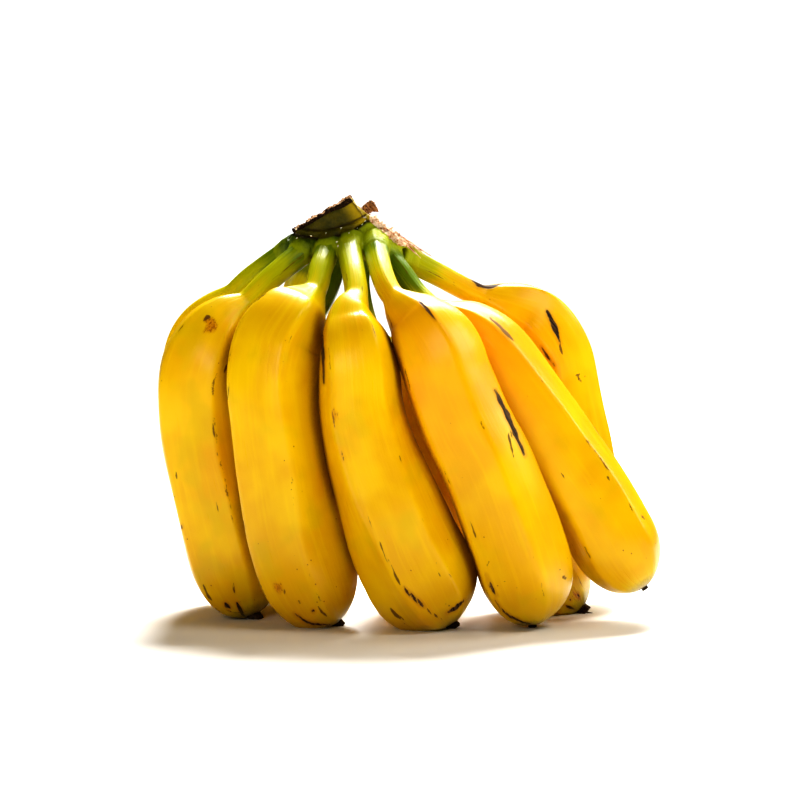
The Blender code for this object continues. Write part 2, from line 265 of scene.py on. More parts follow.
def slow_waves(s, angle, draw, count=12):
    """Gentle unevenness over the skin, as a sum of a few waves along and round it."""
    total = np.zeros((len(s), len(angle)))
    for _ in range(count):
        lobes = draw.integers(1, 6)
        pitch = draw.uniform(22, 75)
        shift = draw.uniform(0, 2 * math.pi, 2)
        size = draw.uniform(0.4, 1.0)
        total += size * np.outer(np.sin(2 * math.pi * s / pitch + shift[0]), np.cos(lobes * angle + shift[1]))
    return total / math.sqrt(count)


print("stalk", STALK_RADIUS, "mm, nub", NUB_RADIUS, "mm in radius")

# %% [markdown]
# ## Rings of points, from stalk to nub
#
# The skin is a net of rings. They lie 1.2 mm apart on the body and closer at the tip and the nub,
# where the shape turns quickly. The nub's last rings turn in, so that its end is a shallow cup, and
# on some fruits a dry point, the style of the flower, is left in the middle. Points that would lie
# below the table are held at it: a ripe fruit that stands on its tip is pressed flat there.

# %% Make the net of one fruit
SIDES = 120
NECK_START = 6.0  # inside the crown's stump, so that no gap shows
TABLE_TOP = 0.03  # mm above the table's surface, so that skin and table don't share a plane


def ring_distances(length):
    """Distances of the rings along the course."""
    nub = length - NUB_LENGTH
    body = np.arange(NECK_START, nub - 14, 1.2)
    tip = nub - 14 + 14 * np.sin(np.linspace(0, math.pi / 2, 26))
    return np.concatenate([body, tip[:-1], nub + np.linspace(0, NUB_LENGTH, 9)])


NUB_SIZE = {"banana_outer_6": 0.45, "banana_outer_5": 0.55, "banana_outer_7": 0.8}  # a share of the usual
# How far the ridges lean round the fruit, how much one face narrows to the tip, and where that face is
UNEVEN_FACES = {"banana_outer_4": (0.18, 0.45, -0.63)}
STALK_SIDES = 0.5  # of the five sides' depth is left on the stalk


def net(name, fruit, seed, style):
    """The fruit's rings of points in the drawing, with distance, angle and outward direction."""
    draw = np.random.default_rng(seed)
    step, middle, normal, across, length = fruit["track"]
    s = ring_distances(length)
    angle = np.linspace(0, 2 * math.pi, SIDES, endpoint=False)
    centre, outward, sideways = [
        np.stack([np.interp(s, step, table[:, k]) for k in range(3)], axis=1)
        for table in (middle, normal, across)]
    drift = 0.05 * np.sin(s / 31 + draw.uniform(0, 6))[:, None]
    lean, narrowing, narrow_middle = UNEVEN_FACES.get(name, (0.0, 0.10, draw.uniform(0, 6)))
    from_tip = (length - s)[:, None]
    leaning = angle[None, :] - lean * step_up(from_tip, 5, 75)
    turned = leaning + drift + narrowing * step_up(from_tip, 95, 15) * np.sin(leaning - narrow_middle)
    end = length - NUB_LENGTH
    body = step_up(s, fruit["shoulder"] - 4, fruit["shoulder"] + 22)[:, None]
    sides = 1 + (five_sided(turned) - 1) * (STALK_SIDES + (1 - STALK_SIDES) * body)
    radius = mean_radius(s, length, fruit)[:, None] * sides
    tip = step_up(s, end - 26, end - 4)[:, None]
    to_ridge = np.abs((turned * FACES / (2 * math.pi) + 0.5) % 1 - 0.5) * 2 * math.pi / FACES
    from_ridge = to_ridge * radius
    height = draw.uniform(0.5, 1.4, FACES)[np.round(turned * FACES / (2 * math.pi)).astype(int) % FACES]
    crest = CREST * height * np.exp(-(from_ridge / CREST_WIDTH) ** 2) * (0.4 + 0.6 * body) * (1 - tip)
    radius += crest + WAVE * slow_waves(s, angle, draw) * body * (1 - 0.7 * tip)
    grooves = np.cos(17 * angle + draw.uniform(0, 6)) + 0.7 * np.cos(23 * angle + draw.uniform(0, 6))
    radius += 0.018 * grooves[None, :] * (1 - body)
    ragged = 1 + 0.05 * np.cos(5 * angle + 1) + 0.04 * np.cos(9 * angle + draw.uniform(0, 6))
    on_nub = np.clip((s - end) / NUB_LENGTH, 0, 1)[:, None]
    rough = ragged[None, :] + 0.03 * draw.normal(size=(len(s), SIDES)) * on_nub
    nub = NUB_RADIUS * NUB_SIZE.get(name, 1.0) * (0.93 + 0.10 * on_nub**2) * rough
    radius = np.where(s[:, None] > end - 1.0, np.maximum(radius, nub), radius)
    shrink = np.clip(s - end, 0, None) * (1 - NUB_SIZE.get(name, 1.0))
    centre = centre - shrink[:, None] * np.cross(outward, sideways)
    direction = (np.cos(angle)[None, :, None] * outward[:, None] + np.sin(angle)[None, :, None] * sideways[:, None])
    points = centre[:, None] + radius[..., None] * direction
    ahead = np.cross(outward[-1], sideways[-1])
    rim = points[-1] - centre[-1]
    caps = [(0.86, 0.15), (0.70, -0.35), (0.45, -0.7), (0.28, -0.6 + 0.5 * style), (0.16, 0.5 * style + 0.5 * style**2)]
    cups = np.stack([centre[-1] + rim * share + ahead * rise for share, rise in caps])
    points = np.concatenate([points, cups])
    s = np.concatenate([s, np.full(len(caps), length)])
    direction = np.concatenate([direction, np.repeat(ahead[None, None], len(caps), 0).repeat(SIDES, 1)])
    from_ridge = np.concatenate([from_ridge, np.full((len(caps), SIDES), 9.0)])
    close = centre[-1] + ahead * (0.6 * style + 0.5 * style**2)
    print(f"{name}: {len(s)} rings of {SIDES} points")
    return dict(points=points, s=s, angle=angle, direction=direction, from_ridge=from_ridge,
                first=centre[0], last=close, length=length)


STYLES = {"banana_outer_3": 2.0, "banana_inner_4": 2.2, "banana_inner_1": 1.6, "banana_outer_1": 1.2}
for index, (name, fruit) in enumerate(FRUITS.items()):
    fruit["net"] = net(name, fruit, 40 + index, STYLES.get(name, 0.0))

# %% [markdown]
# ## Marks drawn on the picture
#
# A ripe banana is never clean: leaves and neighbours rub it while it grows, and each rub dries to
# a brown or black scar. Here they are drawn as on a tracing sheet laid over the picture: a kind, a
# half width in millimetres and a line of points across and down the 800-point picture. Each point of
# a fruit's skin that faces the camera gets its distance to the nearest line. The material later turns
# that distance into a mark with ragged edges, so the net needs no finer faces there.

# %% List the marks
MARKS = {
    "banana_outer_2": [
        ("rub", 2.6, [(206, 318), (212, 325), (206, 331)]), ("scratch", 0.6, [(203, 321), (208, 316), (211, 322)]),
        ("scratch", 0.55, [(237, 338), (233, 347), (229, 355)]), ("scratch", 0.4, [(227, 364), (224, 373)]),
        ("scratch", 0.45, [(213, 420), (214, 440)]), ("scratch", 0.4, [(215, 448), (218, 458)]),
        ("scar", 0.8, [(224, 603), (230, 608)]), ("scar", 0.75, [(237, 603), (241, 611), (244, 616)]),
        ("scratch", 0.35, [(233, 582), (235, 596)]), ("scratch", 0.5, [(203, 585), (207, 594), (212, 601)]),
        ("scratch", 0.3, [(216, 500), (219, 512)]), ("scratch", 0.3, [(176, 470), (177, 482)]),
        ("scar", 0.4, [(181, 525), (182, 529)]), ("scratch", 0.25, [(226, 610), (236, 613), (246, 611)]),
    ],
    "banana_outer_3": [
        ("rub", 1.7, [(275, 584), (280, 592)]), ("scratch", 0.5, [(297, 600), (301, 604)]),
        ("scar", 0.75, [(313, 611)]), ("scratch", 0.6, [(318, 606), (322, 612), (327, 616)]),
        ("scar", 0.42, [(294, 613), (303, 620), (312, 624), (330, 625)]), ("scratch", 0.35, [(265, 490)]),
        ("scratch", 0.35, [(270, 505)]), ("scratch", 0.35, [(280, 508)]),
        ("scratch", 0.35, [(229, 380), (228, 400)]), ("scratch", 0.3, [(292, 335), (287, 352)]),
        ("scratch", 0.3, [(243, 520), (246, 540)]), ("scratch", 0.4, [(284, 588), (285, 594)]),
    ],
    "banana_outer_4": [
        ("scar", 0.75, [(322, 331), (322, 343), (323, 357), (324, 384)]),
        ("scratch", 0.45, [(379, 541), (383, 551)]), ("scratch", 0.55, [(385, 555), (390, 565)]),
        ("scratch", 0.42, [(390, 565), (394, 573), (401, 585), (407, 591)]),
        ("scar", 0.85, [(404, 588), (414, 598), (424, 607)]), ("scratch", 0.5, [(423, 606), (430, 612), (441, 619)]),
        ("scratch", 0.6, [(389, 607), (395, 614), (404, 620)]), ("scratch", 0.3, [(443, 603), (452, 607)]),
        ("scar", 0.7, [(447, 613), (456, 608), (464, 600)]),
        ("rub", 0.9, [(333, 410), (337, 420)]), ("scratch", 0.38, [(362, 505), (375, 533), (385, 555), (398, 581), (409, 594), (425, 608), (442, 620)]),
        ("scratch", 0.4, [(367, 511), (369, 514)]), ("scratch", 0.25, [(436, 562), (441, 580)]),
    ],
    "banana_outer_5": [
        ("scar", 0.6, [(419, 301), (427, 309), (435, 320)]), ("scratch", 0.4, [(454, 359)]),
        ("scratch", 0.35, [(476, 411)]), ("scratch", 0.35, [(478, 420)]),
        ("scar", 1.0, [(495, 390), (500, 400), (507, 414), (512, 426), (518, 440), (525, 456)]),
        ("scratch", 0.4, [(508, 432), (510, 442), (514, 458)]), ("scratch", 0.3, [(510, 430), (513, 440)]),
        ("scar", 0.55, [(486, 574), (489, 582), (493, 590), (497, 596)]), ("scratch", 0.5, [(488, 560), (489, 562)]),
        ("scratch", 0.45, [(487, 566)]), ("scratch", 0.4, [(503, 580), (505, 582)]), ("scratch", 0.3, [(517, 588)]),
        ("scratch", 0.3, [(510, 609)]), ("scratch", 0.5, [(560, 570)]), ("scratch", 0.75, [(561, 576), (567, 579)]),
        ("scar", 0.45, [(495, 600), (501, 609), (511, 617), (522, 622), (531, 624)]), ("scratch", 0.3, [(470, 520), (476, 538)]),
    ],
    "banana_outer_6": [
        ("scratch", 0.65, [(488, 316), (497, 324), (507, 334), (514, 341)]), ("scratch", 0.55, [(607, 476), (610, 480)]),
        ("scratch", 0.35, [(641, 515), (645, 520)]), ("scratch", 0.4, [(655, 543)]), ("scratch", 0.35, [(646, 558)]),
        ("scar", 0.8, [(640, 590), (647, 588), (652, 582)]), ("scratch", 0.35, [(594, 425), (600, 436), (607, 447)]),
        ("scratch", 0.25, [(560, 470), (566, 482)]),
    ],
    "banana_outer_7": [
        ("scar", 1.9, [(472, 278), (480, 283), (488, 284), (497, 283), (506, 279)]),
        ("rub", 1.5, [(540, 286), (551, 291)]),
        ("scar", 1.05, [(547, 311), (551, 318), (554, 325), (557, 333), (560, 343)]),
        ("scratch", 0.5, [(560, 342), (561, 350), (563, 357)]), ("scar", 0.5, [(541, 347), (548, 357), (555, 366)]),
        ("scratch", 0.4, [(573, 377), (580, 374)]), ("scratch", 0.4, [(577, 375), (579, 379), (582, 383)]),
        ("scratch", 0.35, [(590, 415)]), ("scratch", 0.35, [(596, 420)]),
    ],
    "banana_inner_4": [
        ("rub", 1.6, [(574, 591), (580, 600)]), ("scar", 0.45, [(577, 594), (579, 597)]),
        ("scar", 0.5, [(566, 606), (574, 609)]), ("scar", 0.4, [(570, 600)]),
    ],
}
KINDS = ("scar", "scratch", "rub")
FAR = 6.0
print(sum(len(marks) for marks in MARKS.values()), "marks on the side that the picture shows")


# %% Measure the distance to the marks
def line_distance(points, line):
    """Distance of each 2-D point from a line through a few points, and a taper: 1 mid-line, less at its ends."""
    line = [np.array(p, float) for p in line]
    best = np.full(len(points), 1e9)
    share = np.full(len(points), 0.5)
    count = len(line) - 1
    for i, (a, b) in enumerate(zip(line, line[1:] or line)):
        span = max(float((b - a) @ (b - a)), 1e-9)
        t = np.clip((points - a) @ (b - a) / span, 0, 1)
        away = np.linalg.norm(points - a - t[:, None] * (b - a), axis=1)
        if count:
            share = np.where(away < best, (i + t) / count, share)
        best = np.minimum(best, away)
    return best, 0.4 + 0.7 * np.sin(math.pi * share)


def worn_away(place):
    """Share of its full width that a mark has at each point of the picture, so that it swells and thins."""
    across, down = place[:, 0], place[:, 1]
    swell = np.sin(0.31 * down + 0.17 * across) + np.sin(0.13 * down - 0.41 * across + 2.0)
    return 0.95 + 0.13 * swell


def mark_distances(name, place, facing, flat, seed):
    """For each kind, mm from the nearest mark's edge: drawn ones in front, drawn by lot behind."""
    near = {kind: np.full(len(place), FAR) for kind in KINDS}
    seen = facing > 0.05
    for kind, half_width, line in MARKS.get(name, ()):
        away, taper = line_distance(place[seen], line)
        away = away * MM_PER_POINT - half_width * taper * worn_away(place[seen])
        near[kind][seen] = np.minimum(near[kind][seen], away)
    draw = np.random.default_rng(seed)
    lowest, highest = 48.0, flat[:, 1].max() - 8
    turn = flat[:, 0].max()
    for _ in range(16):
        kind = KINDS[draw.choice(3, p=(0.5, 0.35, 0.15))]
        half_width = {"scar": 0.6, "scratch": 0.35, "rub": 2.0}[kind] * draw.uniform(0.6, 1.5)
        start = np.array((draw.uniform(0.04, 0.96) * turn, draw.uniform(lowest, highest)))
        reach = draw.uniform(2, 14) if kind != "rub" else 3.0
        bend = draw.normal(0, 1.2, 2)
        line = [start, start + (bend[0], reach / 2), start + (bend[0] + bend[1], reach)]
        away, taper = line_distance(flat, line)
        away -= half_width * taper
        if not (seen & (away < 1.5)).any():
            near[kind] = np.minimum(near[kind], away)
    return near


# %% [markdown]
# ## Where the peel stays green
#
# The stalk ripens last. It is dark green at the crown and turns yellow-green, then yellow, at the
# shoulder. The green follows the ridges a little further down than the faces, and there is a trace
# of it round the tip. On some fruits the part just below the shoulder is a warmer, more orange
# yellow. Where two fruits lie close together, painted shade darkens the peel towards brown. Each of
# these is a number from 0 to 1 for each point, and the material mixes its colours by them.

# %% Green and warm amounts, and painted shade
GREEN_REACH = {"banana_outer_1": 30, "banana_outer_2": 26, "banana_outer_3": 30, "banana_outer_4": 34,
               "banana_outer_5": 4, "banana_inner_3": 20, "banana_inner_4": 16, "banana_inner_2": 24}
GREENER = {"banana_outer_1": 0.08, "banana_outer_2": 0.0, "banana_outer_6": 0.35, "banana_inner_2": 0.4,
           "banana_inner_3": 0.4, "banana_inner_4": 0.35, "banana_outer_7": -0.25, "banana_outer_5": -0.08}
DARK_TOP = {"banana_outer_1": 0.6, "banana_outer_2": 0.5, "banana_outer_7": 0.0, "banana_outer_4": 0.25, "banana_outer_3": 0.45, "banana_outer_5": 0.6}  # 1 where not named
WARM = {"banana_outer_5": 0.36, "banana_outer_6": 0.44, "banana_outer_7": 0.12, "banana_outer_4": 0.12}


def green_amount(name, fruit, s, from_ridge, length):
    """How green each point is: up to 1 at the crown, 0 on the ripe body."""
    reach = fruit["shoulder"] + GREEN_REACH.get(name, 10)
    top = 0.62 + 0.38 * DARK_TOP.get(name, 1.0)
    stalk = top - (top - 0.55) * step_up(s, 11.5, 23) - 0.15 * step_up(s, 20, 32) - 0.40 * step_up(s, 26, reach)
    stalk += GREENER.get(name, 0.0) * step_up(s, 12, 22) * (1 - step_up(s, 22, reach))
    along_ridge = 0.12 * np.exp(-(from_ridge / 2.4) ** 2) * (1 - step_up(s, reach, reach + 60))
    tip = 0.34 * step_up(s, length - 16, length - 4)
    return stalk + along_ridge + tip


def warm_amount(name, s, fruit):
    """How orange each point is."""
    start = fruit["shoulder"] + 6
    return WARM.get(name, 0.06) * step_up(s, start - 6, start + 12) * (1 - 0.75 * step_up(s, start + 35, start + 90))


def gap_shade_amount(name, points, s):
    """Painted shade between fruits: 1 where the peel nearly touches a neighbour, 0 from some millimetres away and on
    the stalks.
    """
    away = np.full(len(points), 99.0)
    for other, fruit in FRUITS.items():
        if other != name:
            step, middle, _, _, length = fruit["track"]
            for centre, radius in zip(middle[::6], mean_radius(step, length, fruit)[::6]):
                away = np.minimum(away, np.linalg.norm(points - centre, axis=1) - radius)
    shoulder = FRUITS[name]["shoulder"]
    return step_up(away, GAP_SHADE_TO, 1.0) * step_up(s, shoulder - 6, shoulder + 14)


GAP_SHADE_TO = 6.0  # mm from a neighbour, where the painted shade between fruits ends
print("green ends", min(f["shoulder"] for f in FRUITS.values()), "to 54 mm from the crown's middle")

# %% [markdown]
# ## The skins
#
# Now the rings become meshes. Each point also keeps what the material needs: its place on a
# straightened fruit (so that streaks run along the real, bent one), the green and warm amounts, the
# distance to the nearest ridge, to the nub and to each kind of mark. Blender calls such numbers
# attributes, and a material reads them by name.

# %% Build the eleven skins
def keep_number(mesh, name, values):
    """Store one number for each vertex."""
    mesh.attributes.new(name, "FLOAT", "POINT").data.foreach_set("value", np.asarray(values, np.float32))


def keep_place(mesh, name, values):
    """Store one place for each vertex."""
    flat = np.asarray(values, np.float32).ravel()
    mesh.attributes.new(name, "FLOAT_VECTOR", "POINT").data.foreach_set("vector", flat)


def net_faces(rings, sides):
    """Quads between neighbouring rings, and triangles to the two end points."""
    faces = []
    for i in range(rings - 1):
        for j in range(sides):
            k = (j + 1) % sides
            faces.append((i * sides + j, i * sides + k, (i + 1) * sides + k, (i + 1) * sides + j))
    first, last = rings * sides, rings * sides + 1
    faces += [(first, (j + 1) % sides, j) for j in range(sides)]
    top = (rings - 1) * sides
    faces += [(top + j, top + (j + 1) % sides, last) for j in range(sides)]
    return faces


def skin(name, fruit, index):
    """The fine skin of one fruit, as an object that stands for its CAD node."""
    shape = fruit["net"]
    rings = len(shape["s"])
    points = np.vstack([shape["points"].reshape(-1, 3), shape["first"], shape["last"]])
    drawn = points
    points = (points - MIDDLE) * MM
    points[:, 2] = np.maximum(points[:, 2], TABLE_TOP * MM)
    mesh = bpy.data.meshes.new(name + "_skin")
    mesh.from_pydata(points.tolist(), [], net_faces(rings, SIDES))
    mesh.shade_smooth()

    def whole(values, first=0.0, last=0.0):
        return np.concatenate([np.broadcast_to(values, (rings, SIDES)).ravel(), [first, last]])

    s = whole(shape["s"][:, None], NECK_START, shape["length"])
    angle = whole(shape["angle"][None, :])
    from_ridge = whole(shape["from_ridge"], 9.0, 9.0)
    outward = np.vstack([shape["direction"].reshape(-1, 3), shape["direction"][-1, 0], shape["direction"][-1, 0]])
    to_camera = np.array(camera.location) - points
    to_camera /= np.linalg.norm(to_camera, axis=1)[:, None]
    facing = (outward * to_camera).sum(axis=1)
    size = fruit["belly"]
    flat = np.stack([angle * size, s], axis=1)
    near = mark_distances(name, picture_place(points), facing, flat, 200 + index)
    for kind in KINDS:
        keep_number(mesh, kind, near[kind])
    keep_number(mesh, "green", green_amount(name, fruit, s, from_ridge, shape["length"]))
    keep_number(mesh, "warm", warm_amount(name, s, fruit))
    # painted shade where the fruits lie close together
    keep_number(mesh, "gap_shade", gap_shade_amount(name, drawn, s))
    keep_number(mesh, "ridge", from_ridge)
    keep_number(mesh, "nub", s - (shape["length"] - NUB_LENGTH))
    keep_place(mesh, "straight", np.stack([np.cos(angle) * size + 90 * index, np.sin(angle) * size, s], axis=1))
    made = bpy.data.objects.new(name + "_skin", mesh)
    bpy.context.scene.collection.objects.link(made)
    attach(made, "root")
    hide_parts(name)
    return made


skins = [skin(name, fruit, index) for index, (name, fruit) in enumerate(FRUITS.items())]
print(sum(2 * len(o.data.polygons) for o in skins), "triangles in the skins")

# %% [markdown]
# ## A short way to write materials
#
# A node material is a chain of small sums. This helper adds one node for each call and returns its
# result, so that a finish reads from top to bottom like a recipe. Colours are given as they look on
# a screen, from 0 to 255, and turned into the linear values that the renderer works in.

# %% The recipe helper
def tint(red, green, blue):
    """A colour as seen on a screen, in the renderer's linear values."""
    linear = [(c / 255 / 12.92) if c <= 10 else ((c / 255 + 0.055) / 1.055) ** 2.4 for c in (red, green, blue)]
    return (*linear, 1.0)


class Finish:
    """A material in the making. Each call adds a node and gives back what it works out."""

    def __init__(self, name, **shader):
        self.material = bpy.data.materials.new(name)
        self.material.use_nodes = True
        self.tree = self.material.node_tree
        self.shader = self.tree.nodes["Principled BSDF"]
        for socket, value in shader.items():
            self.shader.inputs[socket.replace("_", " ")].default_value = value

    def put(self, socket, value):
        if isinstance(value, bpy.types.NodeSocket):
            self.tree.links.new(value, socket)
        else:
            socket.default_value = value

    def add(self, kind, inputs, output=0, **settings):
        node = self.tree.nodes.new("ShaderNode" + kind)
        for key, value in settings.items():
            setattr(node, key, value)
        for key, value in inputs.items():
            self.put(node.inputs[key], value)
        return node.outputs[output]

    def number(self, name):
        return self.add("Attribute", {}, "Fac", attribute_name=name)

    def place(self, name):
        return self.add("Attribute", {}, "Vector", attribute_name=name)

    def math(self, operation, a, b=0.0):
        return self.add("Math", {0: a, 1: b}, operation=operation)

    def fade(self, value, start, end):
        """0 at start and 1 at end, smooth between; start may be the higher of the two."""
        inputs = {"Value": value, "From Min": start, "From Max": end}
        return self.add("MapRange", inputs, interpolation_type="SMOOTHSTEP")

    def stretch(self, where, x, y, z):
        return self.add("VectorMath", {0: where, 1: (x, y, z)}, operation="MULTIPLY")

    def noise(self, where, scale, detail=3.0, roughness=0.55):
        inputs = {"Vector": where, "Scale": scale, "Detail": detail, "Roughness": roughness}
        return self.add("TexNoise", inputs)

    def mix(self, share, a, b):
        return self.add("Mix", {0: share, 6: a, 7: b}, 2, data_type="RGBA")

    def bump(self, height, distance, strength=1.0):
        bump = self.add("Bump", {"Height": height, "Distance": distance, "Strength": strength})
        self.put(self.shader.inputs["Normal"], bump)


print("white on a screen is", tint(255, 255, 255)[:3], "to the renderer")

# %% [markdown]
# ## The peel
#
# The peel is a waxy yellow skin. Its colour isn't even: clouds of deeper and paler yellow some
# centimetres wide, fine streaks that run along the fruit, green at the stalk, orange below some
# shoulders, and painted shade, a deep brown, where fruits lie close together. Over that lie the
# marks: freckles (a cell pattern with a few cells chosen), worn dashes on the ridges, scratches,
# rubs made of many brown flecks, and dry scars with a soft brown edge. The nub is dark and rough.
# The shine is that of wax: broad and soft, and dull on every scar.

# %% Make the peel
NECK_GREEN, PALE_GREEN = tint(98, 124, 0), tint(176, 180, 0)


def make_peel():
    peel = Finish("peel", Metallic=0.0, Specular_IOR_Level=0.22)
    where = peel.place("straight")
    long_way = peel.stretch(where, 1.0, 1.0, 0.07)
    streak = peel.noise(long_way, 0.42, 4.0, 0.6)
    cloud = peel.noise(where, 0.042, 2.0)
    grain = peel.noise(where, 1.1, 3.0)
    rag = peel.math("SUBTRACT", grain, 0.5)
    torn = peel.math("SUBTRACT", peel.noise(peel.stretch(where, 1.0, 1.0, 0.3), 0.8, 4.0, 0.65), 0.5)

    colour = peel.mix(peel.fade(cloud, 0.35, 0.68), tint(224, 172, 0), tint(234, 191, 0))
    colour = peel.mix(peel.math("MULTIPLY", peel.fade(streak, 0.45, 0.75), 0.35), colour, tint(240, 207, 2))
    lemon = peel.fade(peel.noise(where, 0.055, 2.0), 0.50, 0.70)
    colour = peel.mix(peel.math("MULTIPLY", lemon, 0.45), colour, tint(208, 178, 0))
    warm = peel.math("ADD", peel.number("warm"), peel.math("MULTIPLY", peel.math("SUBTRACT", streak, 0.5), 0.35))
    colour = peel.mix(peel.fade(warm, 0.0, 1.0), colour, tint(238, 146, 0))

    green = peel.math("ADD", peel.number("green"), peel.math("MULTIPLY", peel.math("SUBTRACT", streak, 0.5), 0.30))
    colour = peel.mix(peel.fade(green, 0.06, 0.50), colour, tint(216, 198, 2))
    colour = peel.mix(peel.fade(green, 0.30, 0.64), colour, PALE_GREEN)
    colour = peel.mix(peel.fade(green, 0.66, 1.0), colour, NECK_GREEN)

    dusky = peel.math("MULTIPLY", peel.fade(peel.number("nub"), -34.0, -3.0), 0.36)
    colour = peel.mix(dusky, colour, tint(146, 98, 0))
    # Painted shade: the peel darkens to brown where it lies close to a neighbouring fruit.
    gap_shade = peel.math("ADD", peel.number("gap_shade"), peel.math("MULTIPLY", rag, 0.25))
    colour = peel.mix(peel.math("MULTIPLY", peel.fade(gap_shade, 0.0, 1.1), 0.75), colour, tint(112, 50, 0))

    cells = peel.add("TexVoronoi", {"Vector": where, "Scale": 0.21}, "Distance")
    chosen = peel.add("TexVoronoi", {"Vector": where, "Scale": 0.21}, "Color")
    chosen = peel.add("SeparateColor", {0: chosen}, 0)
    near_tip = peel.math("MULTIPLY", peel.fade(peel.number("nub"), -45.0, -6.0), 0.34)
    chosen = peel.math("ADD", chosen, near_tip)
    freckle = peel.math("MULTIPLY", peel.fade(cells, 0.085, 0.045), peel.fade(chosen, 0.77, 0.82))
    colour = peel.mix(peel.math("MULTIPLY", freckle, 0.75), colour, tint(136, 62, 0))

    ragged_ridge = peel.math("ADD", peel.number("ridge"), peel.math("MULTIPLY", rag, 1.6))
    patch = peel.noise(peel.stretch(where, 0.35, 0.35, 0.10), 1.0, 2.0)
    worn = peel.math("MULTIPLY", peel.fade(ragged_ridge, 0.75, 0.25), peel.fade(patch, 0.60, 0.66))
    colour = peel.mix(peel.math("MULTIPLY", worn, 0.8), colour, tint(104, 60, 10))

    soft = peel.math("ADD", peel.number("rub"), peel.math("MULTIPLY", torn, 3.0))
    colour = peel.mix(peel.math("MULTIPLY", peel.fade(soft, 1.0, -1.8), 0.55), colour, tint(196, 104, 0))
    ragged = peel.math("ADD", peel.number("rub"), peel.math("MULTIPLY", torn, 6.0))
    rub = peel.math("MULTIPLY", peel.fade(ragged, 0.8, -1.4), peel.fade(grain, 0.40, 0.62))
    colour = peel.mix(peel.math("MULTIPLY", rub, 0.75), colour, tint(136, 66, 0))

    edge = peel.math("ADD", peel.number("scar"), peel.math("MULTIPLY", torn, 1.2))
    colour = peel.mix(peel.math("MULTIPLY", peel.fade(edge, 1.3, 0.1), 0.35), colour, tint(176, 104, 6))
    scar = peel.fade(edge, 0.18, -0.18)
    dry = peel.mix(peel.fade(peel.noise(long_way, 2.2, 3.0), 0.42, 0.62), tint(26, 16, 8), tint(104, 74, 44))
    colour = peel.mix(scar, colour, dry)
    thin = peel.math("ADD", peel.number("scratch"), peel.math("MULTIPLY", torn, 1.1))
    scratch = peel.fade(thin, 0.15, -0.15)
    colour = peel.mix(peel.math("MULTIPLY", scratch, 0.85), colour, tint(84, 50, 12))

    near_nub = peel.math("ADD", peel.number("nub"), peel.math("MULTIPLY", rag, 3.0))
    colour = peel.mix(peel.math("MULTIPLY", peel.fade(near_nub, -5.5, -1.0), 0.65), colour, tint(98, 88, 10))
    nub = peel.fade(near_nub, -0.9, -0.1)
    char = peel.mix(peel.fade(peel.noise(where, 1.4, 3.0), 0.45, 0.62), tint(20, 13, 8), tint(92, 66, 40))
    colour = peel.mix(nub, colour, char)
    peel.put(peel.shader.inputs["Base Color"], colour)

    rough = peel.math("MAXIMUM", peel.math("MAXIMUM", scar, nub), peel.math("MULTIPLY", scratch, 0.7))
    waxy = peel.math("ADD", 0.23, peel.math("MULTIPLY", streak, 0.14))
    dull = peel.math("ADD", waxy, peel.math("MULTIPLY", rough, 0.42))
    peel.put(peel.shader.inputs["Roughness"], dull)

    height = peel.math("ADD", peel.math("MULTIPLY", grain, 0.25), peel.math("MULTIPLY", streak, 0.9))
    height = peel.math("SUBTRACT", height, peel.math("MULTIPLY", scar, 0.5))
    height = peel.math("ADD", height, peel.math("MULTIPLY", freckle, 0.25))
    peel.bump(height, 0.00018)
    return peel.material


peel_finish = make_peel()
for piece in skins:
    piece.data.materials.append(peel_finish)
print("peel:", len(peel_finish.node_tree.nodes), "nodes")

# %% [markdown]
# ## The crown's shape
#
# The crown is one lump of tissue: a fleshy cushion with a stump for each stalk, the block above it
# that the knife went through, a folded lip of skin where the two meet, and the torn end with its
# dried scrap. Simple shapes are laid over each other, and Blender's voxel remesh turns them into one
# skin without inner faces. A light smoothing then rounds every meeting line, as growth does. The
# stumps shrink a little at their ends, so that each one dives under the skin of its own stalk.

# %% Lay the crown's shapes over each other
CUSHIONS = [((-32, 1, 157), (16, 11.5, 6.5)), ((-20, 2, 156.5), (12.5, 11.5, 7.5))]
LOWER_EDGE = [(-48.4, 160.6), (-47.2, 159.9), (-45.2, 159.4), (-41, 158.9), (-36.5, 158.5), (-33, 159.2),
              (-29.5, 160.2), (-24.5, 161.8), (-20.5, 163.8), (-19, 164.8), (-17.6, 165.8)]
END_EDGE = [(-19, 167.4), (-21.4, 170.7)]  # of the block's outline, seen from the front
KNIFE_EDGE = [(-25.2, 175.6), (-31, 172.2), (-37, 168.8), (-43, 165.2), (-46.8, 163.0), (-48.4, 162.0)]
KNIFE_CUT = ((-48.4, 0, 162.0), (-0.59, 0.0, 1))
END_CUT = ((-25.2, 0, 175.6), (1.29, 0.05, 1))
BLOCK_MIDDLE, BLOCK_HALF, BLOCK_CORNER = 0.5, 12.0, 5.0
TORN_X, TORN_Y, TORN_BASE = (-24, 1.5), (-8, 9), 154.5
TORN_SLOPE = ((-17.5, 0, 168), (0.84, 0.04, 1))
SCRAP = ((-21, 1, 167.5), (-15.6, 0.5, 173.2), 1.5, 1.8)
KNOB = ((-6.4, -3.5, 158.8), 1.9)  # a lump of torn tissue: middle and radius
STUMP_END = 12.0


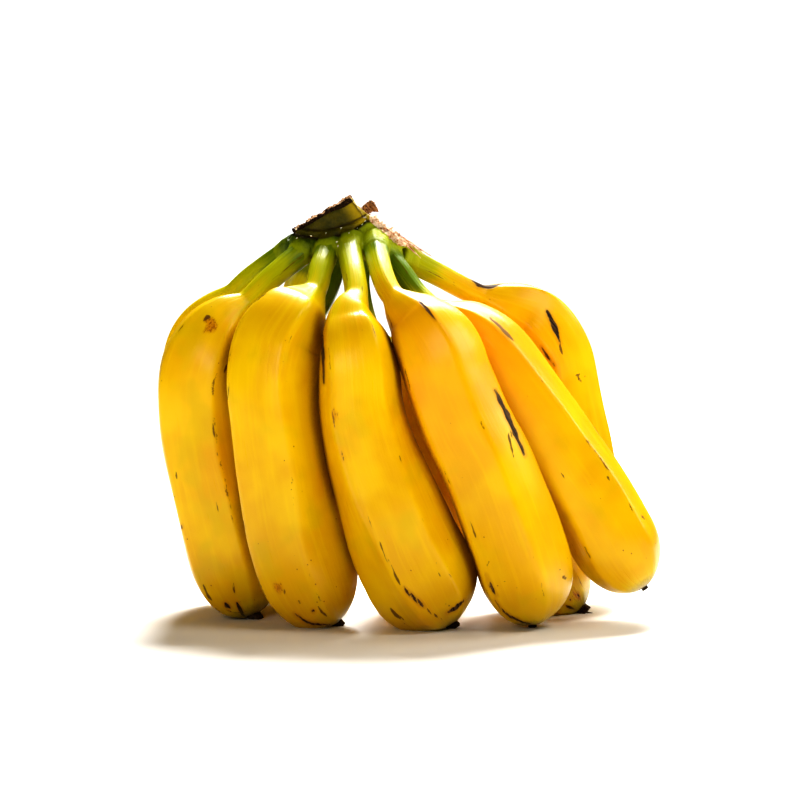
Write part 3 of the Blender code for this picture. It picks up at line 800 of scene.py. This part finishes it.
def block():
    """The cut block: its outline seen from the front, given depth; the depth shrinks at both ends."""
    outline = LOWER_EDGE + END_EDGE + KNIFE_EDGE
    left, right = outline[0][0], LOWER_EDGE[-1][0]
    bm = bmesh.new()
    rows = []
    for side in (-1, 1):
        row = []
        for x, z in outline:
            short = max(0.0, BLOCK_CORNER - min(x - left, right - x)) / BLOCK_CORNER
            half = BLOCK_HALF - BLOCK_CORNER * (1 - math.sqrt(1 - 0.96 * short**2))
            row.append(bm.verts.new((x, BLOCK_MIDDLE + side * half, z)))
        rows.append(row)
    count = len(outline)
    for i in range(count):
        j = (i + 1) % count
        bm.faces.new((rows[0][i], rows[0][j], rows[1][j], rows[1][i]))
    bmesh.ops.triangulate(bm, faces=[bm.faces.new(rows[0]), bm.faces.new(rows[1][::-1])])
    return bm


def slice_off(bm, point, normal, upper):
    """Cut the shape with a plane, drop one side and close the cut."""
    everything = bm.verts[:] + bm.edges[:] + bm.faces[:]
    cut = bmesh.ops.bisect_plane(bm, geom=everything, plane_co=point, plane_no=normal,
                                 clear_outer=upper, clear_inner=not upper)
    bmesh.ops.holes_fill(bm, edges=[e for e in cut["geom_cut"] if isinstance(e, bmesh.types.BMEdge)])


def soft_box(x, y, z, corner):
    """A box with rounded upright edges."""
    bm = bmesh.new()
    bmesh.ops.create_cube(bm, size=1.0)
    bmesh.ops.scale(bm, vec=(x[1] - x[0], y[1] - y[0], z[1] - z[0]), verts=bm.verts)
    bmesh.ops.translate(bm, vec=((x[0] + x[1]) / 2, (y[0] + y[1]) / 2, (z[0] + z[1]) / 2), verts=bm.verts)
    upright = [e for e in bm.edges if abs(e.verts[0].co.z - e.verts[1].co.z) > 0.5 * (z[1] - z[0])]
    bmesh.ops.bevel(bm, geom=upright, offset=corner, segments=6, profile=0.5, affect="EDGES")
    return bm


def stump(fruit):
    """A stalk's root: rings on the fruit's own course, from inside the crown to just past the joint."""
    step, middle, normal, across, length = fruit["track"]
    s = np.linspace(0, STUMP_END + 1.0, 27)
    radius = mean_radius(s, length, fruit) + 0.45 - 0.9 * step_up(s, 7.0, STUMP_END + 1.0)
    angle = np.linspace(0, 2 * math.pi, 60, endpoint=False)
    centre, outward, sideways = [
        np.stack([np.interp(s, step, table[:, k]) for k in range(3)], axis=1) for table in (middle, normal, across)]
    direction = np.cos(angle)[None, :, None] * outward[:, None] + np.sin(angle)[None, :, None] * sideways[:, None]
    sides = 1 + (five_sided(angle) - 1) * STALK_SIDES
    points = centre[:, None] + (radius[:, None] * sides[None, :])[..., None] * direction
    bm = bmesh.new()
    verts = [bm.verts.new(p) for p in np.vstack([points.reshape(-1, 3), centre[0], centre[-1]])]
    for face in net_faces(len(s), len(angle)):
        bm.faces.new([verts[i] for i in face])
    return bm


def crown_shapes():
    """All the shapes that the crown is merged from, as bmeshes in the drawing's mm."""
    shapes = [stump(fruit) for fruit in FRUITS.values()]
    for middle, half in CUSHIONS:
        bm = bmesh.new()
        bmesh.ops.create_uvsphere(bm, u_segments=48, v_segments=24, radius=1.0)
        bmesh.ops.scale(bm, vec=half, verts=bm.verts)
        bmesh.ops.translate(bm, vec=middle, verts=bm.verts)
        shapes.append(bm)
    torn = soft_box(TORN_X, TORN_Y, (TORN_BASE, 190), 3.0)
    slice_off(torn, *TORN_SLOPE, upper=True)
    core = soft_box((-46, -10.5), (-5, 7), (153.5, 160.5), 2.0)
    start, end = Vector(SCRAP[0]), Vector(SCRAP[1])
    scrap = bmesh.new()
    bmesh.ops.create_cone(scrap, cap_ends=True, segments=24, radius1=SCRAP[2], radius2=SCRAP[3], depth=(end - start).length)
    turn = (end - start).to_track_quat("Z", "Y").to_matrix().to_4x4()
    bmesh.ops.transform(scrap, matrix=Matrix.Translation((start + end) / 2) @ turn, verts=scrap.verts)
    knob = bmesh.new()
    bmesh.ops.create_icosphere(knob, subdivisions=3, radius=KNOB[1])
    bmesh.ops.translate(knob, vec=KNOB[0], verts=knob.verts)
    return shapes + [block(), torn, core, scrap, knob]


VOXEL = 0.55 * MM


def merged_crown():
    """One skin round all the shapes, in metres."""
    whole = bmesh.new()
    for bm in crown_shapes():
        bmesh.ops.recalc_face_normals(bm, faces=bm.faces)
        part = bpy.data.meshes.new("shape")
        bm.to_mesh(part)
        bm.free()
        whole.from_mesh(part)
        bpy.data.meshes.remove(part)
    bmesh.ops.translate(whole, vec=-Vector(MIDDLE), verts=whole.verts)
    bmesh.ops.scale(whole, vec=(MM, MM, MM), verts=whole.verts)
    mesh = bpy.data.meshes.new("crown_skin")
    whole.to_mesh(mesh)
    whole.free()
    made = bpy.data.objects.new("crown_skin", mesh)
    bpy.context.scene.collection.objects.link(made)
    remesh = made.modifiers.new("one skin", "REMESH")
    remesh.mode = "VOXEL"
    remesh.voxel_size = VOXEL
    soften = made.modifiers.new("soften", "SMOOTH")
    soften.factor = 0.5
    soften.iterations = 5
    graph = bpy.context.evaluated_depsgraph_get()
    made.modifiers.update()
    bpy.context.view_layer.update()
    finished = bpy.data.meshes.new_from_object(made.evaluated_get(graph))
    made.modifiers.clear()
    made.data = finished
    return made


crown = merged_crown()
print("crown:", len(crown.data.polygons), "faces")

# %% [markdown]
# ## Dried edges and torn fibres
#
# A smooth lump doesn't look cut or torn. The knife's face has dried: it has sunk a little, and its
# edge has curled up into a rough dark rim. The torn end is a mass of short fibres that run downhill.
# Both come from moving the points by noise, each in its own zone, and the zones are kept as numbers
# for the crown's material.

# %% Work the crown's surface
def plane_distance(points, plane):
    """Height of each point above a plane, in mm."""
    point, normal = np.array(plane[0], float), np.array(plane[1], float)
    return (points - point) @ (normal / np.linalg.norm(normal))


def crumple(points, pitch, seed):
    """Rough noise between about -1 and 1, from waves in many directions."""
    draw = np.random.default_rng(seed)
    total = np.zeros(len(points))
    for octave in range(3):
        for _ in range(7):
            way = draw.normal(size=3)
            way /= np.linalg.norm(way)
            wave = 2 * math.pi / (pitch / 1.9**octave * draw.uniform(0.7, 1.4))
            total += np.sin(points @ way * wave + draw.uniform(0, 6)) * 0.6**octave
    return total / 3.2


def nearest_stalk(points):
    """How far each point is on a stump, from 0 to 1, and how dark a green that stump's fruit starts with."""
    best = np.full(len(points), 1e9)
    along = np.zeros(len(points))
    dark = np.zeros(len(points))
    for name, fruit in FRUITS.items():
        step, middle = fruit["track"][:2]
        for s, centre in zip(step[:28], middle[:28]):
            away = np.linalg.norm(points - centre, axis=1)
            closer = away < best
            best[closer] = away[closer]
            along[closer] = s
            dark[closer] = DARK_TOP.get(name, 1.0)
    return step_up(along, 3.0, 9.5), dark


def work_crown(made):
    mesh = made.data
    count = len(mesh.vertices)
    co = np.zeros(count * 3)
    mesh.vertices.foreach_get("co", co)
    normals = np.zeros(count * 3)
    mesh.vertices.foreach_get("normal", normals)
    normals = normals.reshape(-1, 3)
    p = co.reshape(-1, 3) / MM + MIDDLE
    knife = plane_distance(p, KNIFE_CUT)
    end = plane_distance(p, END_CUT)
    edge_x, edge_z = np.array(LOWER_EDGE).T
    under = p[:, 2] - np.interp(p[:, 0], edge_x, edge_z)
    on_block = step_up(p[:, 0], -15.5, -17.5) * step_up(p[:, 0], -51.0, -50.0) * step_up(under, -0.4, 0.4)
    upright = 1 - step_up(normals[:, 2], 0.45, 0.75)
    top = on_block * step_up(knife, -1.2, -0.3) * step_up(normals[:, 2], 0.3, 0.7)
    thick = 1.3 * step_up(p[:, 0], -34, -27)
    rim = on_block * step_up(knife, -1.8 - thick, -1.0 - 0.7 * thick) * upright
    end_face = on_block * step_up(end, -1.6, -0.5) * step_up(normals[:, 0], 0.2, 0.5)
    fold = on_block * upright * np.exp(-((under - 1.5) / 1.0) ** 2)
    # Painted shade: a dark line where the lip overhangs the cushion, and one in the crease above; the same creases are
    # also pressed in as grooves.
    crease = step_up(p[:, 0], -15.5, -17.5) * step_up(p[:, 0], -51.0, -50.0) * upright
    crease *= np.exp(-((under + 0.3) / 0.7) ** 2) + 0.7 * np.exp(-((under - 3.2) / 0.5) ** 2)
    right_edge = on_block * upright * np.exp(-((end + 0.6) / 0.5) ** 2)
    torn = step_up(p[:, 0], -18.5, -15.5) * step_up(plane_distance(p, TORN_SLOPE), -2.6, -0.9)
    torn *= step_up(p[:, 2], 154.0, 156.5)
    start, finish = np.array(SCRAP[0], float), np.array(SCRAP[1], float)
    span = finish - start
    t = np.clip((p - start) @ span / (span @ span), 0, 1)
    scrap = step_up(np.linalg.norm(p - start - t[:, None] * span, axis=1), 4.0, 2.8) * step_up(p[:, 2], 167.0, 169.0)
    lump = crumple(p, 5.0, 1)
    fine = crumple(p, 1.8, 2)
    downhill = crumple(p * np.array((0.25, 1.0, 0.4)), 2.2, 3)
    move = 0.14 * lump + 0.8 * fold - 0.6 * crease
    move += top * (0.25 * fine + 0.3 * lump) + rim * (0.15 + 0.35 * fine)
    move += 0.2 * top * downhill
    move += torn * (0.9 * downhill + 0.5 * fine + 0.2)
    move += scrap * (0.35 * lump + 0.25 * fine)
    knob = step_up(np.linalg.norm(p - np.array(KNOB[0]), axis=1), KNOB[1] + 1.2, KNOB[1] + 0.2)
    torn = np.maximum(torn, knob)
    move += knob * 0.5 * lump
    p = p + normals * move[:, None]
    mesh.vertices.foreach_set("co", ((p - MIDDLE) * MM).astype(np.float32).ravel())
    mesh.shade_smooth()
    keep_number(mesh, "cut_face", top)
    keep_number(mesh, "dried", np.clip(rim, 0, 1))
    keep_number(mesh, "scrap", scrap)
    # painted shade of the lip's creases, with the dark line along the end cut's edge
    keep_number(mesh, "crease", np.clip(1.3 * crease + 0.8 * right_edge, 0, 1))
    stalk, dark = nearest_stalk(p)
    keep_number(mesh, "stalk", stalk)
    keep_number(mesh, "dark_top", dark)
    keep_number(mesh, "height", p[:, 2])
    keep_number(mesh, "torn", np.clip(torn, 0, 1))
    keep_number(mesh, "end_face", end_face)
    keep_number(mesh, "under_lip", under)
    keep_number(mesh, "left_to_right", p[:, 0])
    keep_place(mesh, "straight", p)
    mesh.update()


work_crown(crown)
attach(crown, "root")
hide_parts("crown")
print("crown box in mm:", [round(v / MM, 1) for v in crown.dimensions])

# %% [markdown]
# ## The crown's colours
#
# The block's skin is olive, darker under its dried edge. Painted shade darkens the creases of its
# lip, and a dark line runs along the edge of its end cut. Painted light makes the block's upper
# right end a lighter yellow, and the cushion below the lip, fresh green, a lighter lime towards
# its right. The stumps carry that green on into the stalks. The knife's face has dried to tan and
# brown, its rim nearly black, and the torn fibres are a pinkish tan.

# %% Make the crown's finish
def make_crown_finish():
    look = Finish("crown", Metallic=0.0, Specular_IOR_Level=0.18)
    where = look.place("straight")
    coarse = look.noise(where, 0.22, 4.0, 0.6)
    fine = look.noise(where, 1.6, 4.0, 0.65)
    fibre = look.noise(look.stretch(where, 0.25, 1.3, 0.5), 1.1, 4.0, 0.65)
    rag = look.math("SUBTRACT", fine, 0.5)

    side = look.number("left_to_right")
    cushion_colour = look.mix(look.fade(coarse, 0.35, 0.65), tint(62, 84, 0), tint(96, 114, 0))
    # Painted light: the cushion turns a lighter lime towards its right side.
    cushion_colour = look.mix(look.fade(side, -34.0, -14.0), cushion_colour, tint(166, 178, 4))
    cushion_colour = look.mix(look.number("stalk"), cushion_colour, look.mix(look.number("dark_top"), PALE_GREEN, NECK_GREEN))
    olive = look.mix(look.fade(coarse, 0.35, 0.65), tint(62, 60, 0), tint(84, 76, 0))
    # Painted light: the block's skin turns a lighter yellow towards its upper right end.
    lit = look.math("ADD", side, look.math("MULTIPLY", look.number("height"), 0.55))
    olive = look.mix(look.fade(lit, 64.0, 72.0), olive, tint(168, 144, 0))
    under = look.math("ADD", look.number("under_lip"), look.math("MULTIPLY", rag, 0.8))
    colour = look.mix(look.fade(under, -0.6, 0.2), cushion_colour, olive)
    # Painted shade in the creases of the lip, and the dark line along the end cut's edge.
    colour = look.mix(look.math("MULTIPLY", look.number("crease"), 0.95), colour, tint(40, 24, 0))

    face = look.mix(look.fade(fibre, 0.4, 0.62), tint(150, 108, 70), tint(216, 180, 138))
    face = look.mix(look.fade(coarse, 0.5, 0.62), face, tint(84, 56, 34))
    colour = look.mix(look.fade(look.number("cut_face"), 0.2, 0.6), colour, face)
    tissue = look.mix(look.fade(fibre, 0.36, 0.58), tint(196, 134, 88), tint(250, 226, 196))
    tissue = look.mix(look.fade(fine, 0.62, 0.74), tissue, tint(126, 70, 34))
    torn = look.fade(look.math("ADD", look.number("torn"), look.math("MULTIPLY", rag, 0.7)), 0.3, 0.6)
    colour = look.mix(torn, colour, tissue)
    crust = look.mix(look.fade(fine, 0.5, 0.7), tint(34, 20, 8), tint(96, 66, 38))
    dried = look.fade(look.math("ADD", look.number("dried"), look.math("MULTIPLY", rag, 0.9)), 0.3, 0.6)
    colour = look.mix(dried, colour, crust)
    husk = look.mix(look.fade(fine, 0.40, 0.56), tint(66, 42, 22), tint(192, 140, 94))
    colour = look.mix(look.fade(look.number("scrap"), 0.3, 0.7), colour, husk)
    look.put(look.shader.inputs["Base Color"], colour)

    dry = look.math("MAXIMUM", look.math("MAXIMUM", torn, dried), look.number("cut_face"))
    look.put(look.shader.inputs["Roughness"], look.math("ADD", 0.45, look.math("MULTIPLY", dry, 0.42)))
    height = look.math("ADD", look.math("MULTIPLY", fine, 0.5), look.math("MULTIPLY", fibre, look.math("ADD", dry, 0.3)))
    look.bump(height, 0.0005)
    return look.material


crown_finish = make_crown_finish()
crown.data.materials.clear()
crown.data.materials.append(crown_finish)
print("crown finish:", len(crown_finish.node_tree.nodes), "nodes")

# %% [markdown]
# ## Strings of torn tissue
#
# Where the hand was pulled from the bunch, thin strips of dry tissue hang on and lie over the
# nearest stalk. Each is a narrow band that starts on the torn end, runs along the right stalk and
# thins out to a point. They are swept along short bent courses, drawn by lot within that region.

# %% Lay the strings
def band(bm, course, width, thickness):
    """Sweep a flat six-sided band along the course, narrowing to its end."""
    course = [Vector(p) for p in course]
    rings = []
    for i, here in enumerate(course):
        ahead = (course[min(i + 1, len(course) - 1)] - course[max(i - 1, 0)]).normalized()
        side = ahead.cross(Vector((0, -0.6, 0.8))).normalized()
        up = side.cross(ahead).normalized()
        taper = 1 - 0.85 * (i / (len(course) - 1)) ** 1.5
        ring = []
        for k in range(6):
            turn = k * math.pi / 3
            ring.append(bm.verts.new(here + side * math.cos(turn) * width * taper + up * math.sin(turn) * thickness * taper))
        rings.append(ring)
    for a, b in zip(rings, rings[1:]):
        for k in range(6):
            bm.faces.new((a[k], a[(k + 1) % 6], b[(k + 1) % 6], b[k]))
    bm.faces.new(rings[0][::-1])
    bm.faces.new(rings[-1])


def on_slope(x, y, above):
    """The point of the torn end's slope at x and y, raised by so many mm."""
    point, normal = TORN_SLOPE
    return np.array((x, y, point[2] - normal[0] * (x - point[0]) - normal[1] * y + above))


def strings():
    draw = np.random.default_rng(9)
    step, middle = FRUITS["banana_outer_7"]["track"][:2]
    bm = bmesh.new()
    for i in range(78):
        x, y = draw.uniform(-16.5, -3), draw.uniform(-8.5, 8)
        start = on_slope(x, y, 0.1)
        if i % 6 == 0:
            on_stalk = draw.uniform(11, 19)
            goal = np.array([np.interp(on_stalk, step, middle[:, k]) for k in range(3)])
            out = np.array((0.30, draw.uniform(-0.9, 0.5), 0.95))
            goal = goal + out / np.linalg.norm(out) * 5.5
            lift, width = draw.uniform(0.2, 1.0), draw.uniform(0.2, 0.4)
        elif i % 6 < 4:
            goal = on_slope(x + draw.uniform(3.5, 9), y + draw.normal(0, 1.6), 0.3)
            lift, width = draw.uniform(0.3, 1.3), draw.uniform(0.25, 0.65)
        else:
            goal = on_slope(x + draw.uniform(0, 4), y + draw.normal(0, 2.0), draw.uniform(0.5, 1.8))
            lift, width = draw.uniform(0.2, 0.8), draw.uniform(0.2, 0.45)
        sway = draw.normal(0, 0.8, 2)
        course = []
        for t in np.linspace(0, 1, 13):
            hump = math.sin(math.pi * t)
            bend = np.array((0.0, sway[0] * hump, lift * hump + 0.25 * sway[1] * math.sin(2 * math.pi * t)))
            course.append(start * (1 - t) + goal * t + bend)
        band(bm, course, width, draw.uniform(0.10, 0.2))
    bmesh.ops.translate(bm, vec=-Vector(MIDDLE), verts=bm.verts)
    bmesh.ops.scale(bm, vec=(MM, MM, MM), verts=bm.verts)
    bmesh.ops.recalc_face_normals(bm, faces=bm.faces)
    mesh = bpy.data.meshes.new("torn_strings")
    bm.to_mesh(mesh)
    bm.free()
    mesh.shade_smooth()
    made = bpy.data.objects.new("torn_strings", mesh)
    bpy.context.scene.collection.objects.link(made)
    return made


def make_string_finish():
    look = Finish("dry_fibre", Metallic=0.0, Specular_IOR_Level=0.25)
    where = look.stretch(look.add("TexCoord", {}, "Object"), 1000.0, 1000.0, 1000.0)
    patchy = look.noise(where, 0.35, 3.0)
    fine = look.noise(where, 2.4, 3.0)
    colour = look.mix(look.fade(patchy, 0.38, 0.62), tint(172, 104, 56), tint(250, 218, 184))
    colour = look.mix(look.fade(fine, 0.60, 0.72), colour, tint(112, 60, 28))
    look.put(look.shader.inputs["Base Color"], colour)
    look.put(look.shader.inputs["Roughness"], look.math("ADD", 0.62, look.math("MULTIPLY", fine, 0.3)))
    look.bump(fine, 0.0002)
    return look.material


torn_strings = strings()
torn_strings.data.materials.append(make_string_finish())
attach(torn_strings, "root")
print("strings:", len(torn_strings.data.polygons), "faces")

# %% [markdown]
# ## Beads of latex
#
# A cut banana crown weeps a milky sap that dries in small white beads along the fold of the lip and
# between the stalks. Their places are given on the picture. A line of sight from the camera through
# each one finds the point of the crown's skin that the bead sits on, so that it also touches the
# skin when seen from the side. The beads are drops, flattened against the skin and uneven.

# %% Set the beads
BEADS = [(362, 224, 0.55), (357, 228, 0.4), (341, 228, 0.35), (311, 236, 0.4), (337, 242, 0.5),
         (338, 246, 0.55), (355, 244, 0.45), (297, 238, 0.45), (296, 229, 0.5), (349, 233, 0.3),
         (365, 221, 0.35), (345, 246, 0.3), (326, 233, 0.3)]


def beads():
    tree = BVHTree.FromObject(crown, bpy.context.evaluated_depsgraph_get())
    forward = Vector((0, math.cos(ELEVATION), -math.sin(ELEVATION)))
    up = Vector((0, math.sin(ELEVATION), math.cos(ELEVATION)))
    draw = np.random.default_rng(21)
    bm = bmesh.new()
    placed = 0
    for across, down, radius in BEADS:
        share = MM_PER_POINT * MM / DISTANCE
        way = forward + Vector((1, 0, 0)) * (across - POINTS / 2) * share - up * (down - POINTS / 2) * share
        point, normal, _, _ = tree.ray_cast(camera.location, way.normalized())
        if point is None:
            continue
        placed += 1
        made = bmesh.ops.create_icosphere(bm, subdivisions=3, radius=1.0)["verts"]
        turn = normal.to_track_quat("Z", "Y").to_matrix()
        lobe = draw.normal(size=3)
        for v in made:
            swell = 1 + 0.16 * math.sin(3 * v.co.x + lobe[0]) * math.cos(2.5 * v.co.y + lobe[1])
            drop = Vector((v.co.x * (1 + 0.2 * abs(lobe[2])), v.co.y, v.co.z * 0.6)) * swell * radius * MM
            v.co = point + turn @ drop
    mesh = bpy.data.meshes.new("latex_beads")
    bm.to_mesh(mesh)
    bm.free()
    mesh.shade_smooth()
    print("beads:", placed)
    return mesh


latex_beads = bpy.data.objects.new("latex_beads", beads())
bpy.context.scene.collection.objects.link(latex_beads)
latex = Finish("dried_latex", Metallic=0.0, Roughness=0.35, Subsurface_Weight=0.2, Subsurface_Scale=0.002)
speckle = latex.noise(latex.stretch(latex.add("TexCoord", {}, "Object"), 1000.0, 1000.0, 1000.0), 2.0)
latex.put(latex.shader.inputs["Base Color"], latex.mix(speckle, tint(214, 206, 170), tint(250, 246, 228)))
latex.bump(speckle, 0.0001)
latex_beads.data.materials.append(latex.material)
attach(latex_beads, "root")

# %% [markdown]
# ## The table and the light
#
# The photo was taken on a white table against white. Light comes from above and behind, a little to
# the right, so that the shoulders shine and the shadow falls towards the camera, warmed by the
# yellow fruit. A broad, weak light from the front left opens up the shaded faces. Two more stand to
# the right: one high in front for the shoulders' right faces, one low behind for their bright rims.

# %% Stage and lights
floor_mesh = bpy.data.meshes.new("table")
edge = 4.0
floor_mesh.from_pydata([(-edge, -edge, 0), (edge, -edge, 0), (edge, edge, 0), (-edge, edge, 0)], [], [(0, 1, 2, 3)])
table = bpy.data.objects.new("table", floor_mesh)
bpy.context.scene.collection.objects.link(table)
white = Finish("table_top", Metallic=0.0, Roughness=0.6, Specular_IOR_Level=0.3)
dust = white.noise(white.add("TexCoord", {}, "Object"), 14.0)
white.put(white.shader.inputs["Base Color"], white.mix(dust, tint(244, 242, 238), tint(250, 249, 247)))
floor_mesh.materials.append(white.material)


def area_light(name, place, size, power, colour, matt=1.0):
    """A square soft light that faces the hand; matt is its share in what isn't gloss."""
    data = bpy.data.lights.new(name, "AREA")
    data.size = size
    data.energy = power
    data.color = colour
    data.diffuse_factor = matt
    lamp = bpy.data.objects.new(name, data)
    bpy.context.scene.collection.objects.link(lamp)
    lamp.location = place
    lamp.rotation_euler = (AIM - Vector(place)).to_track_quat("-Z", "Y").to_euler()


def sun_light(name, across, elevation, width, strength, colour):
    """A far light behind the hand; across is how far to the right it stands, width its spread, in degrees."""
    data = bpy.data.lights.new(name, "SUN")
    data.angle = math.radians(width)
    data.energy = strength
    data.color = colour
    data.specular_factor = 0.5
    lamp = bpy.data.objects.new(name, data)
    bpy.context.scene.collection.objects.link(lamp)
    side, rise = math.radians(across), math.radians(elevation)
    towards = Vector((math.sin(side) * math.cos(rise), math.cos(side) * math.cos(rise), math.sin(rise)))
    lamp.location = AIM + towards
    lamp.rotation_euler = towards.to_track_quat("Z", "Y").to_euler()


sun_light("lamp_behind", 6.0, 57.0, 16.0, 3.4, (1.0, 0.98, 0.95))
area_light("side_panel", (0.95, -0.6, 1.35), 0.6, 6.5, (1.0, 0.98, 0.93))
area_light("rim_panel", (1.15, 0.35, 0.8), 0.6, 6.0, (1.0, 0.99, 0.95))
area_light("front_fill", (-0.6, -1.7, 0.6), 0.5, 6.4, (1.0, 0.96, 0.88))
area_light("gloss_panel", (0.2, 1.0, 1.05), 0.8, 20.0, (1.0, 1.0, 1.0), 0.08)
world = bpy.data.worlds.new("white_room")
world.use_nodes = True
sky = world.node_tree
glow = sky.nodes["Background"]
glow.inputs["Strength"].default_value = 0.06
backdrop = sky.nodes.new("ShaderNodeBackground")
seen_directly = sky.nodes.new("ShaderNodeLightPath")
either = sky.nodes.new("ShaderNodeMixShader")
glow.inputs["Color"].default_value = (1.0, 0.85, 0.66, 1.0)
backdrop.inputs["Color"].default_value = (1.0, 1.0, 1.0, 1.0)
sky.links.new(seen_directly.outputs["Is Camera Ray"], either.inputs[0])
sky.links.new(glow.outputs[0], either.inputs[1])
sky.links.new(backdrop.outputs[0], either.inputs[2])
sky.links.new(either.outputs[0], sky.nodes["World Output"].inputs["Surface"])
bpy.context.scene.world = world
bpy.context.scene.view_settings.view_transform = "Standard"
bpy.context.scene.view_settings.look = "High Contrast"
